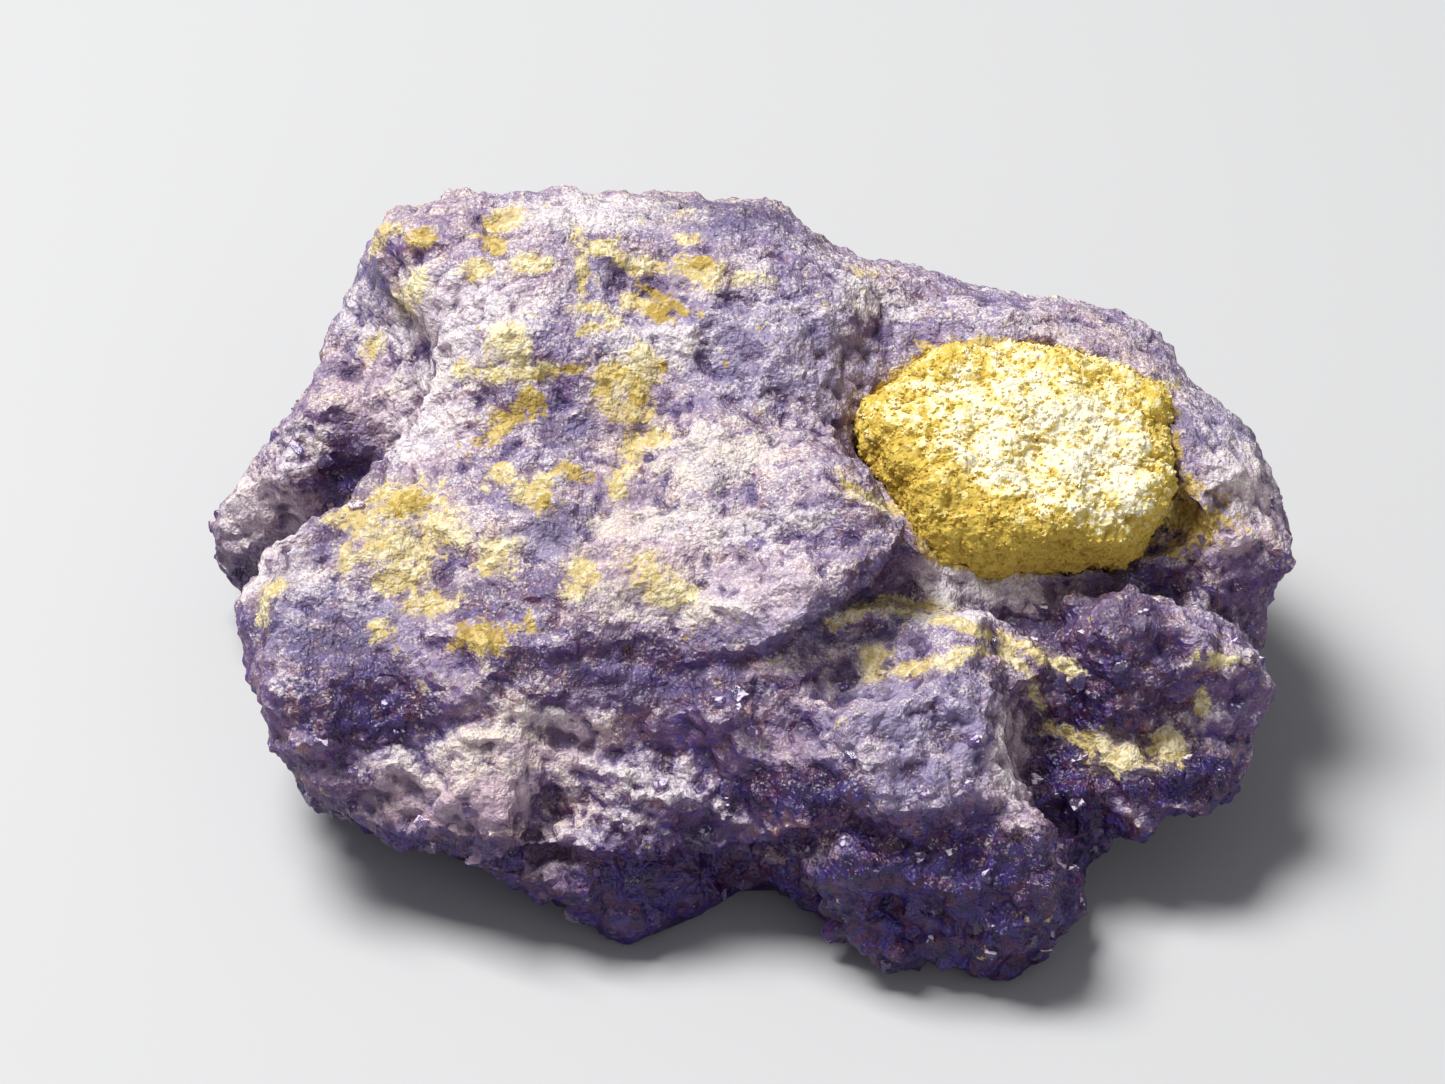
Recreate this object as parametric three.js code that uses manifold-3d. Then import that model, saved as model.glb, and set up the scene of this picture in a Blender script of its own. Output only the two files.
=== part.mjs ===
// A hand-sized specimen of massive coquimbite, a purple iron sulphate, with a nodule of
// granular yellow sulphate seated in its right shoulder. Millimetres, +Z up; +X runs along
// the specimen's length and -Y is its steep, broken front.
//
// The mass is one solid: a weathered dome grown from overlapping lobes, split by fracture
// planes and crevices, with ledges and crystal blocks fused to it. The nodule is the second
// solid and sits in a socket in the mass. The origin is the middle of the resting side.

import * as THREE from "three";
import { ImprovedNoise } from "three/addons/math/ImprovedNoise.js";
import { mergeVertices } from "three/addons/utils/BufferGeometryUtils.js";
import Module from "manifold-3d";

const wasm = await Module();
wasm.setup();

// ---- driving dimensions, in millimetres and degrees ----

const CORE = [0, 0, 8]; // every surface point of the dome is in sight of this one
const REACH = 42; // further from the core than any surface point
const SKIN_STEP = 0.5; // march of the search for the outermost surface
const DOME_DETAIL = 17; // subdivisions of the icosahedron that becomes the dome
const SPREAD = [27, 19, 13]; // share of the dome's points along X, Y and Z
const EVENING_ROUNDS = 10; // rounds that even out the triangles
const RIM = 1.6; // radius of the edge where the dome meets its profile

// The shapes below are rounded blocks: centre, half lengths, tilt about X, roll about Y and
// turn about Z, and how boxy it is (2 is an ellipsoid, 6 nearly a box).

// Lobes that grew into each other and make the dome.
const LOBE_BLEND = 3;
const LOBES = {
  heart: { at: [-4, 1, 8.2], half: [19, 14.5, 11.2], angles: [17, 0, 0], boxy: 2.4 },
  crest: { at: [-6.5, 11.5, 13.9], half: [16, 9, 12], angles: [12, 2, -3], boxy: 3 },
  northWest: { at: [-16.5, 13, 13.3], half: [5.8, 6.3, 11.8], angles: [6, 0, 12], boxy: 2.8 },
  rearLobe: { at: [-23.4, 12, 8], half: [6.4, 5.2, 7.8], angles: [0, 8, 25], boxy: 2.2 },
  westLobe: { at: [-16, -4, 8.5], half: [11, 8.5, 7.5], angles: [12, 0, 8], boxy: 2.4 },
  eastBack: { at: [12.5, 8.5, 10.2], half: [14, 10.8, 10.8], angles: [6, 0, -12], boxy: 2.4 },
  eastShoulder: { at: [22, 4, 10.6], half: [7.2, 7.2, 6.8], angles: [0, 0, -10], boxy: 2.2 },
  eastFlank: { at: [21, -4.5, 8.5], half: [6.5, 5.5, 5.5], angles: [0, 0, 10], boxy: 2.2 },
  frontRidge: { at: [7.5, -9, 8], half: [7, 7.5, 7.5], angles: [18, 0, 0], boxy: 2.4 },
  rightFoot: { at: [9.5, -11.5, 3], half: [8.5, 8.5, 6], angles: [0, 0, -8], boxy: 2.8 },
  leftFoot: { at: [-6.5, -10, 3], half: [8.5, 7, 5.5], angles: [0, 0, 0], boxy: 2.4 },
};

// Ledges, bosses and bulges that stand on the dome with a sharper foot.
const LEDGE_BLEND = 1;
const LEDGES = {
  plate: { at: [1.4, -4.9, 16.6], half: [7.8, 5, 2.4], angles: [27, -9, 8], boxy: 5 },
  dustedKnob: { at: [0.5, 3.5, 19.5], half: [5.5, 4.5, 2.6], angles: [20, 0, 20], boxy: 2.6 },
  darkBump: { at: [17.8, -7.2, 11], half: [4.2, 3.6, 3.6], angles: [20, 12, 20], boxy: 3.4 },
  lowEastLobe: { at: [23.6, -6.5, 9], half: [3.4, 3.6, 4.2], angles: [10, -10, 15], boxy: 3 },
  eastShelf: { at: [19.6, -9.6, 5.6], half: [6.6, 3.8, 3], angles: [22, 6, 14], boxy: 4 },
  ridgeBrow: { at: [7.4, -13.6, 9.4], half: [5.4, 2.8, 3.2], angles: [40, -6, 8], boxy: 3.4 },
  westBulge: { at: [-13.5, -11.8, 7.6], half: [4.4, 3.4, 3.4], angles: [20, 0, -10], boxy: 3 },
  middleBulge: { at: [-5, -12.2, 8], half: [5.4, 3, 3.2], angles: [26, 6, 6], boxy: 3 },
  westBrow: { at: [-20.8, -7.6, 9.6], half: [4.4, 3.6, 3.6], angles: [20, 20, 30], boxy: 3 },
  ochreLump: { at: [-12.8, -9.6, 14.2], half: [2, 1.2, 1.2], angles: [30, 0, 15], boxy: 3 },
  crestKnob: { at: [-13.5, 12.5, 22.2], half: [4.4, 3.4, 2.6], angles: [10, 6, 20], boxy: 3.4 },
  backBoss: { at: [10, 16, 12], half: [6, 3.6, 5], angles: [-10, 0, -10], boxy: 3 },
};

// Crevices, grooves and recesses sunk into the dome.
const HOLLOW_BLEND = 1.2;
const HOLLOWS = {
  rearCrevice: { at: [-21.5, 4.2, 14], half: [5.4, 2, 6.5], angles: [0, 24, 12], boxy: 2.4 },
  crestGroove: { at: [6.4, 4.6, 22.6], half: [2, 6.5, 3], angles: [-16, 0, -14], boxy: 2.2 },
  noseStep: { at: [7.2, -9, 17.8], half: [6.5, 2.2, 3.4], angles: [8, -10, 42], boxy: 3.6 },
  underNodule: { at: [12.6, -6.4, 16.4], half: [5.5, 2.2, 3], angles: [30, 6, 0], boxy: 2.6 },
  darkRecess: { at: [20.4, -3.6, 15.6], half: [2.4, 1.6, 4], angles: [20, 0, 20], boxy: 2.4 },
  eastGroove: { at: [25.6, -3, 12], half: [3.6, 1, 3], angles: [0, 0, 10], boxy: 2.4 },
  shelfGroove: { at: [20, -10.6, 11.4], half: [6.5, 1.3, 1.8], angles: [10, 6, 16], boxy: 2.6 },
  ridgeSide: { at: [15.6, -13.6, 9.6], half: [2.6, 4.6, 4.6], angles: [20, -20, 14], boxy: 3 },
  ridgeUndercut: { at: [6, -18.6, 4.6], half: [5, 2.2, 2], angles: [-10, 0, 6], boxy: 2.6 },
  feetNotch: { at: [-0.4, -16.6, 2], half: [2.6, 4.6, 5], angles: [0, 0, 0], boxy: 2 },
  middleGroove: { at: [-6.5, -11, 16.2], half: [7.6, 2.4, 2], angles: [45, 0, 6], boxy: 2 },
  streakGroove: { at: [-6.4, -1.4, 20.6], half: [1.6, 6, 1.8], angles: [22, 0, -30], boxy: 2.2 },
  westGroove: { at: [-17.4, -11, 10], half: [1.2, 4, 4], angles: [30, 0, 20], boxy: 2.4 },
  lowGroove: { at: [-9.4, -14.2, 8.4], half: [1.6, 2.8, 3.6], angles: [20, 0, -8], boxy: 2.4 },
  flankGroove: { at: [-18.6, 8.6, 19], half: [1.8, 5, 3], angles: [-20, 30, 10], boxy: 2.4 },
  backCleft: { at: [0.5, 21, 11], half: [2, 4.6, 9], angles: [10, 0, 8], boxy: 2.2 },
};

// Faceted lumps of clearer crystal fused to the broken edges: middle, half lengths and
// angles.
const LUMPS = [
  { at: [21.2, -10.4, 6.8], half: [2.6, 2.2, 1.9], angles: [20, 30, 24] },
  { at: [18.6, -10.8, 5.6], half: [2.4, 2, 1.7], angles: [40, 0, -16] },
  { at: [23.2, -8.4, 6.8], half: [2.1, 2, 1.7], angles: [0, 20, 52] },
  { at: [16, -10.8, 6.2], half: [1.8, 1.8, 2], angles: [30, 40, 10] },
  { at: [14.2, -15.6, 3.8], half: [1.7, 2, 2.4], angles: [10, 20, 34] },
  { at: [12.4, -16.2, 8], half: [2.4, 1.7, 1.6], angles: [35, -15, 12] },
  { at: [9.8, -17.4, 4.2], half: [2.3, 1.8, 2], angles: [50, 10, -12] },
  { at: [5, -15.9, 4.4], half: [2.4, 1.9, 2], angles: [15, 30, -26] },
  { at: [-2.4, -13, 5], half: [2, 1.7, 1.9], angles: [30, 15, 24] },
  { at: [-8.4, -14.2, 5.6], half: [2.4, 1.8, 2], angles: [25, -20, -8] },
  { at: [-12.4, -13, 5], half: [2.3, 1.8, 1.8], angles: [40, 25, -24] },
  { at: [-15.6, -11, 4.4], half: [2.2, 1.7, 1.7], angles: [10, 35, -36] },
  { at: [-18.4, -10.6, 5.4], half: [2.3, 1.8, 1.9], angles: [30, 0, -32] },
  { at: [-21.2, -9.8, 7.8], half: [2, 1.9, 1.9], angles: [0, 30, -50] },
  { at: [-25.4, 9.6, 6.6], half: [2, 2.2, 2.2], angles: [20, 20, -74] },
  { at: [24.6, 1.6, 12], half: [2.4, 2.3, 2], angles: [30, 10, 76] },
  { at: [-14.6, 17.4, 14], half: [3.2, 2.4, 2.8], angles: [20, 20, 14] },
  { at: [5.2, 17.8, 14.6], half: [3, 2.3, 2.6], angles: [35, 10, -8] },
  { at: [18, 13.6, 11], half: [2.8, 2.6, 2.8], angles: [10, 30, -30] },
];

// The nodule: a slab whose middle lies at NODULE_AT with its top leaning towards the front.
// Its outline runs clockwise from the left tip, in millimetres along and up the slab.
const NODULE_AT = [13.5, 2.3, 19.4];
const NODULE_TILT = 17; // degrees about X
const NODULE_ROLL = 2; // degrees about Y
const NODULE_DEPTH = 5; // from the middle of its top down to its seat
const NODULE_DOME = 0.7; // rise of the middle of its top
const NODULE_TAPER = 0.15; // how fast it narrows going down
const NODULE_ROUND = 1.8; // radius of its edges
const NODULE_DETAIL = 7;
const NODULE_SPREAD = [8, 6, 4]; // share of its points along X, Y and Z
const SEAT_GAP = 0.3; // between the nodule and its socket
const NODULE_OUTLINE = [
  [-8.5, -0.3], [-7.1, 1.8], [-5.4, 3.6], [-4.4, 4.7], [-2.3, 4.7], [0, 5.2],
  [3.3, 5], [5.5, 3.9], [7.2, 2.1], [7.3, -1.6], [8.9, -3.5], [8.6, -4.8], [6.9, -4.8],
  [5.6, -5.9], [1.4, -6.1], [-1.4, -6.7], [-4.6, -6.4], [-5.3, -4.8], [-6.1, -2.2],
];

// Profile of the dome, looking down onto its front slope at PROFILE_PITCH below the level:
// distance along X, then distance up the slope from the origin. It starts at the rear left
// corner of the crest and runs clockwise.
const PROFILE_PITCH = 38;
const PROFILE = [
  [-19.1, 27.1], [-16.4, 28.2], [-13.6, 28.7], [-10.5, 29.1], [-7.1, 28.7], [-3, 28.5],
  [0.6, 28.4], [2.9, 28.1], [4.4, 26.7], [6.1, 26], [7.9, 25.2], [10, 24.8], [12.9, 23.9],
  [14.4, 23.4], [16.7, 23.3], [18.7, 22.7], [20.6, 21.9], [21.7, 20.6], [22.3, 18.9],
  [24, 17.8], [25.1, 16.7], [25.9, 15.6], [25.8, 14.9], [26.6, 14.2], [27.2, 12.6],
  [27.5, 10.5], [26.9, 8.7], [25.9, 8.1], [26, 7.4], [26.7, 6.1], [26, 4.8], [26.4, 2.5],
  [25.1, 1.3], [24.9, 0.3], [24.3, -1.9], [22.5, -2.4], [21.3, -3.1], [20.1, -3.9],
  [18.6, -4.5], [17.4, -5.4], [16.5, -5.6], [16.6, -7.7], [15.3, -9], [14.2, -9.9],
  [12.1, -10.8], [10.8, -10.5], [9.2, -10], [7.5, -10.1], [5.6, -9.3], [2.9, -8],
  [0.9, -6.8], [-0.4, -6.7], [-1.9, -7.7], [-3.9, -8.5], [-5.8, -9.3], [-7.4, -8.4],
  [-9.3, -7.5], [-11.1, -6.5], [-12.8, -5.9], [-14.7, -5.3], [-16.4, -4.7], [-18.1, -4.9],
  [-19.8, -4.2], [-21.1, -2.8], [-22.2, -1.9], [-22.5, -0.8], [-23.7, 0.3], [-24.5, 2.9],
  [-25.3, 4.3], [-25.2, 6.3], [-26.2, 7], [-27.1, 7], [-28.2, 8], [-28.6, 9.6],
  [-28.1, 11.8], [-27, 13.4], [-24.4, 16.4], [-23.4, 17.6], [-22.2, 19.8], [-22, 21],
  [-20.8, 23.3], [-20.4, 24.8], [-19.7, 25.8],
];

// ---- relief ----

const perlin = new ImprovedNoise();

const noiseAt = (p, wavelength, offset = 0) =>
  perlin.noise(p.x / wavelength + offset, p.y / wavelength + offset, p.z / wavelength - offset);

// A repeatable number from 0 to 1 for a cell of a lattice.
function chance(i, j, k, salt) {
  const wave = Math.sin(i * 127.1 + j * 311.7 + k * 74.7 + salt * 53.9) * 43758.5453;
  return wave - Math.floor(wave);
}

// Flat tilted faces with small steps between them, as on a broken crystalline mass: each
// grain of the lattice has its own face.
function grainFaces(p, grain, salt) {
  const [x, y, z] = [p.x / grain, p.y / grain, p.z / grain];
  const [ci, cj, ck] = [Math.floor(x), Math.floor(y), Math.floor(z)];
  let nearest = Infinity;
  let height = 0;
  for (let i = ci - 1; i <= ci + 1; i++) {
    for (let j = cj - 1; j <= cj + 1; j++) {
      for (let k = ck - 1; k <= ck + 1; k++) {
        const dx = x - i - chance(i, j, k, salt);
        const dy = y - j - chance(i, j, k, salt + 1);
        const dz = z - k - chance(i, j, k, salt + 2);
        const distance = dx * dx + dy * dy + dz * dz;
        if (distance < nearest) {
          nearest = distance;
          const tilt = dx * (chance(i, j, k, salt + 3) - 0.5) + dy * (chance(i, j, k, salt + 4) - 0.5);
          height = tilt + dz * (chance(i, j, k, salt + 5) - 0.5) + 0.4 * chance(i, j, k, salt + 6);
        }
      }
    }
  }
  return height * grain;
}

const relief = (p) =>
  0.9 * noiseAt(p, 6.5, 3.1) + 0.3 * noiseAt(p, 3.2, 7.7) + 0.45 * grainFaces(p, 4.2, 1);

// ---- the dome's field: negative inside, positive outside, in millimetres ----

const degrees = THREE.MathUtils.degToRad;

// Turns a block's words into a function that gives the distance to its surface.
function blockDistance({ at, half, angles, boxy }) {
  const toLocal = new THREE.Matrix4()
    .compose(
      new THREE.Vector3(...at),
      new THREE.Quaternion().setFromEuler(new THREE.Euler(...angles.map(degrees), "ZXY")),
      new THREE.Vector3(1, 1, 1),
    )
    .invert();
  const smallest = Math.min(...half);
  const local = new THREE.Vector3();
  return (p) => {
    local.copy(p).applyMatrix4(toLocal);
    const x = Math.abs(local.x / half[0]);
    const y = Math.abs(local.y / half[1]);
    const z = Math.abs(local.z / half[2]);
    const size = (x ** boxy + y ** boxy + z ** boxy) ** (1 / boxy);
    return (size - 1) * (size > 1 ? Math.min(local.length() / size, REACH) : smallest);
  };
}

function smoothMin(a, b, radius) {
  const h = Math.max(radius - Math.abs(a - b), 0) / radius;
  return Math.min(a, b) - (h * h * radius) / 4;
}

const smoothMax = (a, b, radius) => -smoothMin(-a, -b, radius);

// Distance from a point of a plane to a closed outline in it, negative inside.
function outlineDistance(outline, u, v) {
  let nearest = Infinity;
  let inside = false;
  let [au, av] = outline.at(-1);
  for (const [bu, bv] of outline) {
    const [du, dv] = [bu - au, bv - av];
    const along = Math.max(0, Math.min(1, ((u - au) * du + (v - av) * dv) / (du * du + dv * dv)));
    const [su, sv] = [u - au - along * du, v - av - along * dv];
    nearest = Math.min(nearest, su * su + sv * sv);
    if (av > v !== bv > v && u < au + ((v - av) * du) / dv) inside = !inside;
    [au, av] = [bu, bv];
  }
  return inside ? -Math.sqrt(nearest) : Math.sqrt(nearest);
}

const rise = Math.sin(degrees(PROFILE_PITCH));
const lift = Math.cos(degrees(PROFILE_PITCH));

const lobes = Object.values(LOBES).map(blockDistance);
const ledges = Object.values(LEDGES).map(blockDistance);
const hollows = Object.values(HOLLOWS).map(blockDistance);

// Turns the specimen's coordinates into those of the nodule's slab.
const toSlab = new THREE.Matrix4()
  .compose(
    new THREE.Vector3(...NODULE_AT),
    new THREE.Quaternion().setFromEuler(
      new THREE.Euler(degrees(NODULE_TILT), degrees(NODULE_ROLL), 0, "YXZ"),
    ),
    new THREE.Vector3(1, 1, 1),
  )
  .invert();

// Keeps the dome clear of the top of the nodule.
function clearingDistance(p) {
  const { x, y, z } = p.clone().applyMatrix4(toSlab);
  return Math.max(outlineDistance(NODULE_OUTLINE, x, y) - 0.3, -z - 0.6);
}

function domeField(p) {
  let distance = lobes.reduce((d, lobe) => smoothMin(d, lobe(p), LOBE_BLEND), REACH);
  distance = ledges.reduce((d, ledge) => smoothMin(d, ledge(p), LEDGE_BLEND), distance);
  distance = hollows.reduce((d, hollow) => smoothMax(d, -hollow(p), HOLLOW_BLEND), distance);
  distance = smoothMax(distance, -clearingDistance(p), HOLLOW_BLEND);
  const profile = outlineDistance(PROFILE, p.x, p.y * rise + p.z * lift);
  return smoothMax(distance + relief(p), profile, RIM);
}

// ---- the nodule's field ----

function noduleField(p) {
  const { x, y, z } = p.clone().applyMatrix4(toSlab);
  const side = outlineDistance(NODULE_OUTLINE, x, y) - NODULE_TAPER * Math.min(z, 0) - NODULE_ROUND / 4;
  const top = z - NODULE_DOME * (1 - (x * x) / 60 - (y * y) / 36);
  const body = smoothMax(smoothMax(side, top, NODULE_ROUND), -z - NODULE_DEPTH, NODULE_ROUND);
  const grains = Math.max(0, 0.25 + noiseAt(p, 1.9, 5.3)) * THREE.MathUtils.smoothstep(z, -4, -2);
  return body + 0.7 * grains;
}

// ---- from field to mesh ----

// Outermost point of a field's surface along a ray from the core.
function skinPoint(field, core, direction) {
  const at = (t) => core.clone().addScaledVector(direction, t);
  let outside = REACH;
  while (outside > SKIN_STEP && field(at(outside - SKIN_STEP)) > 0) outside -= SKIN_STEP;
  let inside = outside - SKIN_STEP;
  for (let i = 0; i < 10; i++) {
    const middle = (inside + outside) / 2;
    if (field(at(middle)) > 0) outside = middle;
    else inside = middle;
  }
  return at((inside + outside) / 2);
}

// Drops a point onto the field's surface along the field's slope.
function settle(field, p, steps) {
  const e = 0.05;
  for (let i = 0; i < steps; i++) {
    const d = field(p);
    const slope = new THREE.Vector3(
      field(new THREE.Vector3(p.x + e, p.y, p.z)) - d,
      field(new THREE.Vector3(p.x, p.y + e, p.z)) - d,
      field(new THREE.Vector3(p.x, p.y, p.z + e)) - d,
    ).divideScalar(e);
    const step = d / Math.max(slope.lengthSq(), 0.25);
    p.addScaledVector(slope, -THREE.MathUtils.clamp(step, -0.6, 0.6));
  }
}

// Slides each point towards the middle of its neighbours, then back onto the surface.
function evenOut(field, points, index) {
  const neighbours = points.map(() => new Set());
  for (let i = 0; i < index.length; i += 3) {
    const triangle = [index[i], index[i + 1], index[i + 2]];
    triangle.forEach((a) => triangle.forEach((b) => a !== b && neighbours[a].add(b)));
  }
  for (let round = 0; round < EVENING_ROUNDS; round++) {
    const middles = neighbours.map((near) => {
      const middle = new THREE.Vector3();
      near.forEach((n) => middle.add(points[n]));
      return middle.divideScalar(near.size);
    });
    points.forEach((p, i) => settle(field, p.lerp(middles[i], 0.7), 1));
  }
  points.forEach((p) => settle(field, p, 3));
}

// Closed mesh of a field's surface as seen from its core, with the points shared out along
// X, Y and Z by spread.
function skin(field, core, spread, detail) {
  const mesh = bare(new THREE.IcosahedronGeometry(1, detail));
  const place = mesh.attributes.position;
  const middle = new THREE.Vector3(...core);
  const shares = new THREE.Vector3(...spread);
  const points = Array.from({ length: place.count }, (_, i) =>
    skinPoint(field, middle, new THREE.Vector3().fromBufferAttribute(place, i).multiply(shares).normalize()),
  );
  evenOut(field, points, mesh.index.array);
  points.forEach((p, i) => place.setXYZ(i, p.x, p.y, p.z));
  return mesh;
}

// ---- joining and cutting ----

function bare(geometry) {
  geometry.deleteAttribute("normal");
  geometry.deleteAttribute("uv");
  return mergeVertices(geometry, 1e-4);
}

function toManifold(geometry) {
  return new wasm.Manifold(
    new wasm.Mesh({
      numProp: 3,
      vertProperties: new Float32Array(geometry.attributes.position.array),
      triVerts: new Uint32Array(geometry.index.array),
    }),
  );
}

function toGeometry(solid) {
  const { vertProperties, triVerts } = solid.getMesh();
  return new THREE.BufferGeometry()
    .setAttribute("position", new THREE.BufferAttribute(vertProperties, 3))
    .setIndex(new THREE.BufferAttribute(triVerts, 1));
}

function lumpSolid({ at, half, angles }) {
  const lump = bare(new THREE.DodecahedronGeometry(1)).scale(...half);
  const [tilt, roll, turn] = angles.map(degrees);
  return toManifold(lump.rotateY(roll).rotateX(tilt).rotateZ(turn).translate(...at));
}

const dome = toManifold(skin(domeField, CORE, SPREAD, DOME_DETAIL));
const lumps = LUMPS.map(lumpSolid);
const ground = toManifold(bare(new THREE.BoxGeometry(200, 200, 60).translate(0, 0, -30)));
const noduleCore = new THREE.Vector3(0, -0.6, -2).applyMatrix4(toSlab.clone().invert()).toArray();
const nodule = toManifold(skin(noduleField, noduleCore, NODULE_SPREAD, NODULE_DETAIL));
const socketField = (p) => noduleField(p) - SEAT_GAP;
const socket = toManifold(skin(socketField, noduleCore, NODULE_SPREAD, NODULE_DETAIL));
const mass = lumps.reduce((solid, lump) => solid.add(lump), dome).subtract(ground).subtract(socket);

// ---- the specimen, with the origin under the middle of its bounding box ----

const piece = (name, solid, color, roughness) => {
  const finish = new THREE.MeshStandardMaterial({ color, roughness, metalness: 0 });
  const mesh = new THREE.Mesh(toGeometry(solid), finish);
  mesh.name = name;
  return mesh;
};

const specimen = new THREE.Group();
specimen.add(
  piece("coquimbite_mass", mass, 0x6a5a92, 0.7),
  piece("yellow_nodule", nodule, 0xc9a94e, 0.95),
);

const middle = new THREE.Box3().setFromObject(specimen).getCenter(new THREE.Vector3());
specimen.children.forEach((mesh) => mesh.geometry.translate(-middle.x, -middle.y, 0));

export default specimen;
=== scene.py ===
"""Looks of a hand specimen of massive coquimbite with a yellow nodule in its shoulder.

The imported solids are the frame. The purple mass and the yellow nodule are remodelled over
their solids with fine broken relief, loose crystal grains are fused to both, and each
finish is a node material. Lengths are metres unless a comment says millimetres.
"""

import logging
import math
from dataclasses import dataclass, field
from enum import Enum
from typing import Optional, Sequence, Union

import bpy
import numpy as np
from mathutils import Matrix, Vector


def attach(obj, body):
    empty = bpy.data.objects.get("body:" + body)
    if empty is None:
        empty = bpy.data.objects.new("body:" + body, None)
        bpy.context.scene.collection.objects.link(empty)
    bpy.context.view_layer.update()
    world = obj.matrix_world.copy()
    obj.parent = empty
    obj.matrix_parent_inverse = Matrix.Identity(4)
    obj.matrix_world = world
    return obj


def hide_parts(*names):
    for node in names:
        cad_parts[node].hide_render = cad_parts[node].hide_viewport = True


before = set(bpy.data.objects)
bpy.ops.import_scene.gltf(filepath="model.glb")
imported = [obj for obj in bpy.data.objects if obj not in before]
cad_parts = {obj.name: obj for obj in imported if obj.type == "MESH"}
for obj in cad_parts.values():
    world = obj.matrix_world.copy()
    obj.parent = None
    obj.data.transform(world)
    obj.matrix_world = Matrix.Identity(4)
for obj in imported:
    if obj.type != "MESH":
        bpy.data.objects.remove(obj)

LOG = logging.getLogger("specimen")
MM = 0.001
Colour = tuple[float, float, float]
Point = tuple[float, float]
Pair = tuple[float, float]
Socket = bpy.types.NodeSocket
Value = Union[Socket, float, int, Sequence[float]]
Inputs = dict[Union[int, str], Value]


# ---- nodes ----


@dataclass(frozen=True)
class Grain:
    """Size across and height of the grains or lumps of a relief, in metres."""

    size: float
    tall: float


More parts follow.
